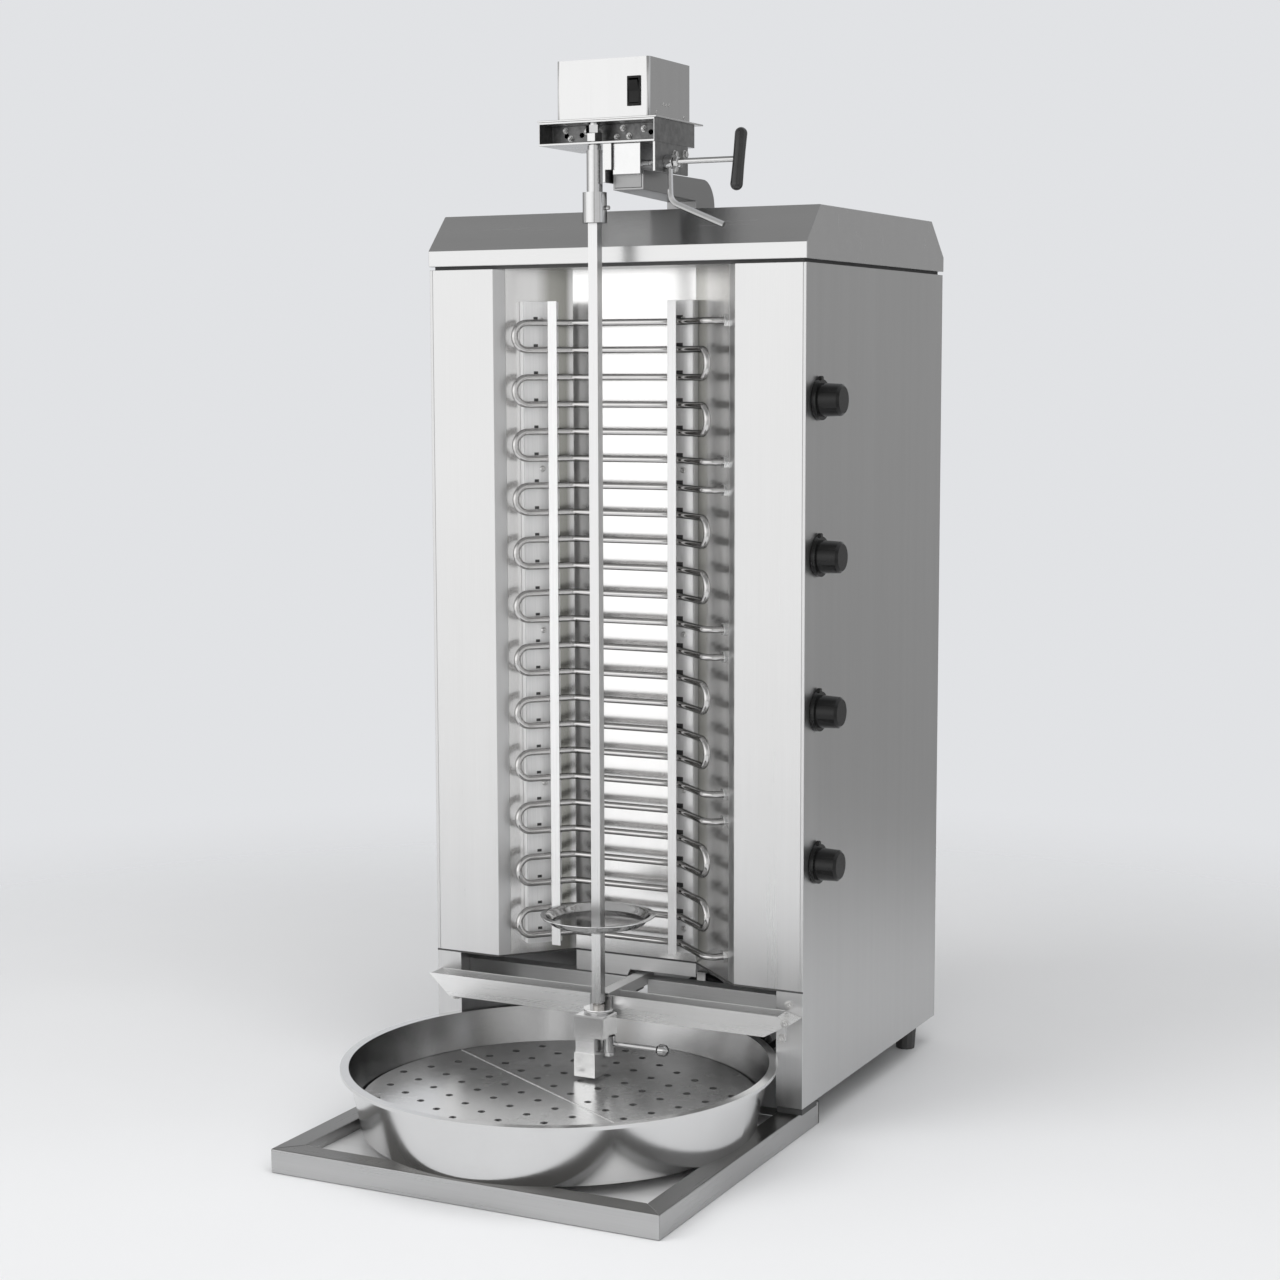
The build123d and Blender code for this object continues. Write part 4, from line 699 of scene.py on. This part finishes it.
# Bolts and screws of the head, the arm and the rear panel: bought zinc-plated parts. Those in the
# head's tray and on its right side are a darker copy of the zinc, as painted shade. The nuts sit
# on washers on their studs, and the panel screws have low round heads.
tray_front, saddle_face, cover_left, cover_right, cover_foot = -26, 86, -52, 69, 1201
rear_face, clamp_y, clamp_z = 464, -28, 1143
shaded_zinc = steel("shaded_zinc", grain="none", tone=0.36, rough=0.30, fine=500, streak=0.25, worn=0.5)
small_nut = [(sides, [(radius * 0.7, rise * 0.8) for radius, rise in profile])
             for sides, profile in nut_on_stud]
cover_screw = [(16, [(0.9, 0.35), (1.0, 0.8), (1.7, 0.8), (2.1, 0.4), (2.1, 0.0)])]
panel_screw = [(20, [(1.2, 0.3), (1.3, 0.85), (2.6, 0.85), (3.4, 0.3), (3.4, 0.0)])]
clamp_nut = [(6, [(5.2, 5.6), (6.0, 5.1), (6.0, 0.5), (5.3, 0.0)])]
turned_pieces("head_bolts", "head", shaded_zinc,
              [(x, tray_front, z, to_front) for x, z in (
                  (-45, 1184), (-38.5, 1174.5), (-17, 1182), (22, 1174), (30, 1184),
                  (38, 1174.5), (57, 1182))], small_nut)
turned_pieces("saddle_bolts", "head", shaded_zinc,
              [(saddle_face, y, z, to_right)
               for y, z in ((-5, 1153), (-5.2, 1137), (22, 1155))], hex_bolt)
turned_pieces("cover_screws", "head", zinc,
              [(x, y, cover_foot, aim)
               for x, aim in ((cover_left, to_left), (cover_right, to_right)) for y in (-18, 56)]
              + [(cover_right, y, z, to_right)
                 for y, z in ((1, 1211.5), (8, 1210.8), (16, 1211.5))], cover_screw)
turned_pieces("arm_bolts", "cabinet", zinc,
              [(44.5, y, 1096.5, up) for y in (119, 139)], hex_bolt)
turned_pieces("rear_screws", "cabinet", zinc,
              [(x, rear_face, z, to_rear) for x in (-238, 238) for z in (60, 300, 540, 780, 1005)]
              + [(x, rear_face, 1012, to_rear) for x in (-120, 0, 120)], panel_screw)
turned_pieces("clamp_nut", "clamp_screw", zinc,
              [(96.8, clamp_y, clamp_z, to_right)], clamp_nut)

# Switch and grip: the rocker switch is clipped into the cover in its bezel. The clamp screw's grip
# is a glossy black moulded bar with ball ends, pressed across the end of the screw.
grip_half, grip_radius, grip_neck, neck_half, grip_tilt = 36.5, 7.25, 6.9, 9.5, radians(12)
switch_black = moulded("switch_black", tone=0.006, rough=0.35, grain=700, dent=0.05, rubbed=0.04,
                       shine=0.25)
grip_black = moulded("grip_black", tone=0.02, rough=0.10, grain=700, dent=0.02, coat=0.6,
                     rubbed=0.03, shine=0.3)
dress(switch_black, "switch_bezel", "rocker", edge=0.0005)
ball_steps = [pi / 2 * step / 7 for step in range(1, 8)]
ball_end = [(grip_radius * sin(step), grip_half - grip_radius + grip_radius * cos(step))
            for step in ball_steps]
grip_profile = ball_end + [(grip_neck, neck_half), (grip_neck, -neck_half)]
grip_profile += [(radius, -rise) for radius, rise in reversed(ball_end)]
grip_way = (0, sin(grip_tilt), cos(grip_tilt))
grip = turned_pieces("screw_grip", "clamp_screw", grip_black,
                     [(178, clamp_y, clamp_z, grip_way)], [(32, grip_profile)])
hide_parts("clamp_grip")

# Supply cord: a black rubber lead out of the gland in the casing's floor. It goes over a clip in a
# bow behind the gutter and down to its put-away coil on the floor, where the plug lies beside it.
cord_skin = moulded("cord_skin", tone=0.02, rough=0.5, grain=1500, dent=0.2)
dress(rubber, "cord_gland")
dress(plug_black, "cord_plug", edge=0.0008)
route = [(165, 150, 152), (165, 150, 104), (100, 151, 104), (68, 151, 140), (34, 152, 137),
         (14, 158, 100), (10, 172, 60), (22, 198, 26), (46, 232, 8), (77, 261.8, 4.9),
         (77, 290.8, 4.9)]
cord_radius, coil_x, coil_y, half_turn_steps = 4.6, 20, 300, 7
cut_inside = cos(pi / (2 * half_turn_steps)) ** 0.5
half_turns = [(57, 52, 4.9, 4.9), (52, 47, 4.9, 4.9), (47, 42, 4.9, 4.9), (42, 37, 4.9, 14.9),
              (37, 47, 14.9, 14.9), (47, 52, 14.9, 14.9), (52, 57, 14.9, 14.9),
              (57, 62, 14.9, 14.9)]
for index, (start, end, low_z, high_z) in enumerate(half_turns):
    side = -1 if index % 2 else 1
    for step in range(1 if index else 0, half_turn_steps + 1):
        share = step / half_turn_steps
        reach = side * (start + (end - start) * share) / cut_inside
        route.append((coil_x + reach * cos(pi * share), coil_y + reach * sin(pi * share),
                      low_z + (high_z - low_z) * share))
route += [(82, 320, 14.9), (96, 338, 14.9), (114, 346, 14.9), (137.2, 346, 14.9)]
cord_line = tube("supply_cord", "NURBS", [route], cord_radius)
run = cord_line.splines[0]
run.order_u = 3
run.use_endpoint_u = True
run.resolution_u = 8
supply_cord = fixed("supply_cord", cord_line, cord_skin, "cabinet")
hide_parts("cord", "cord_coil")
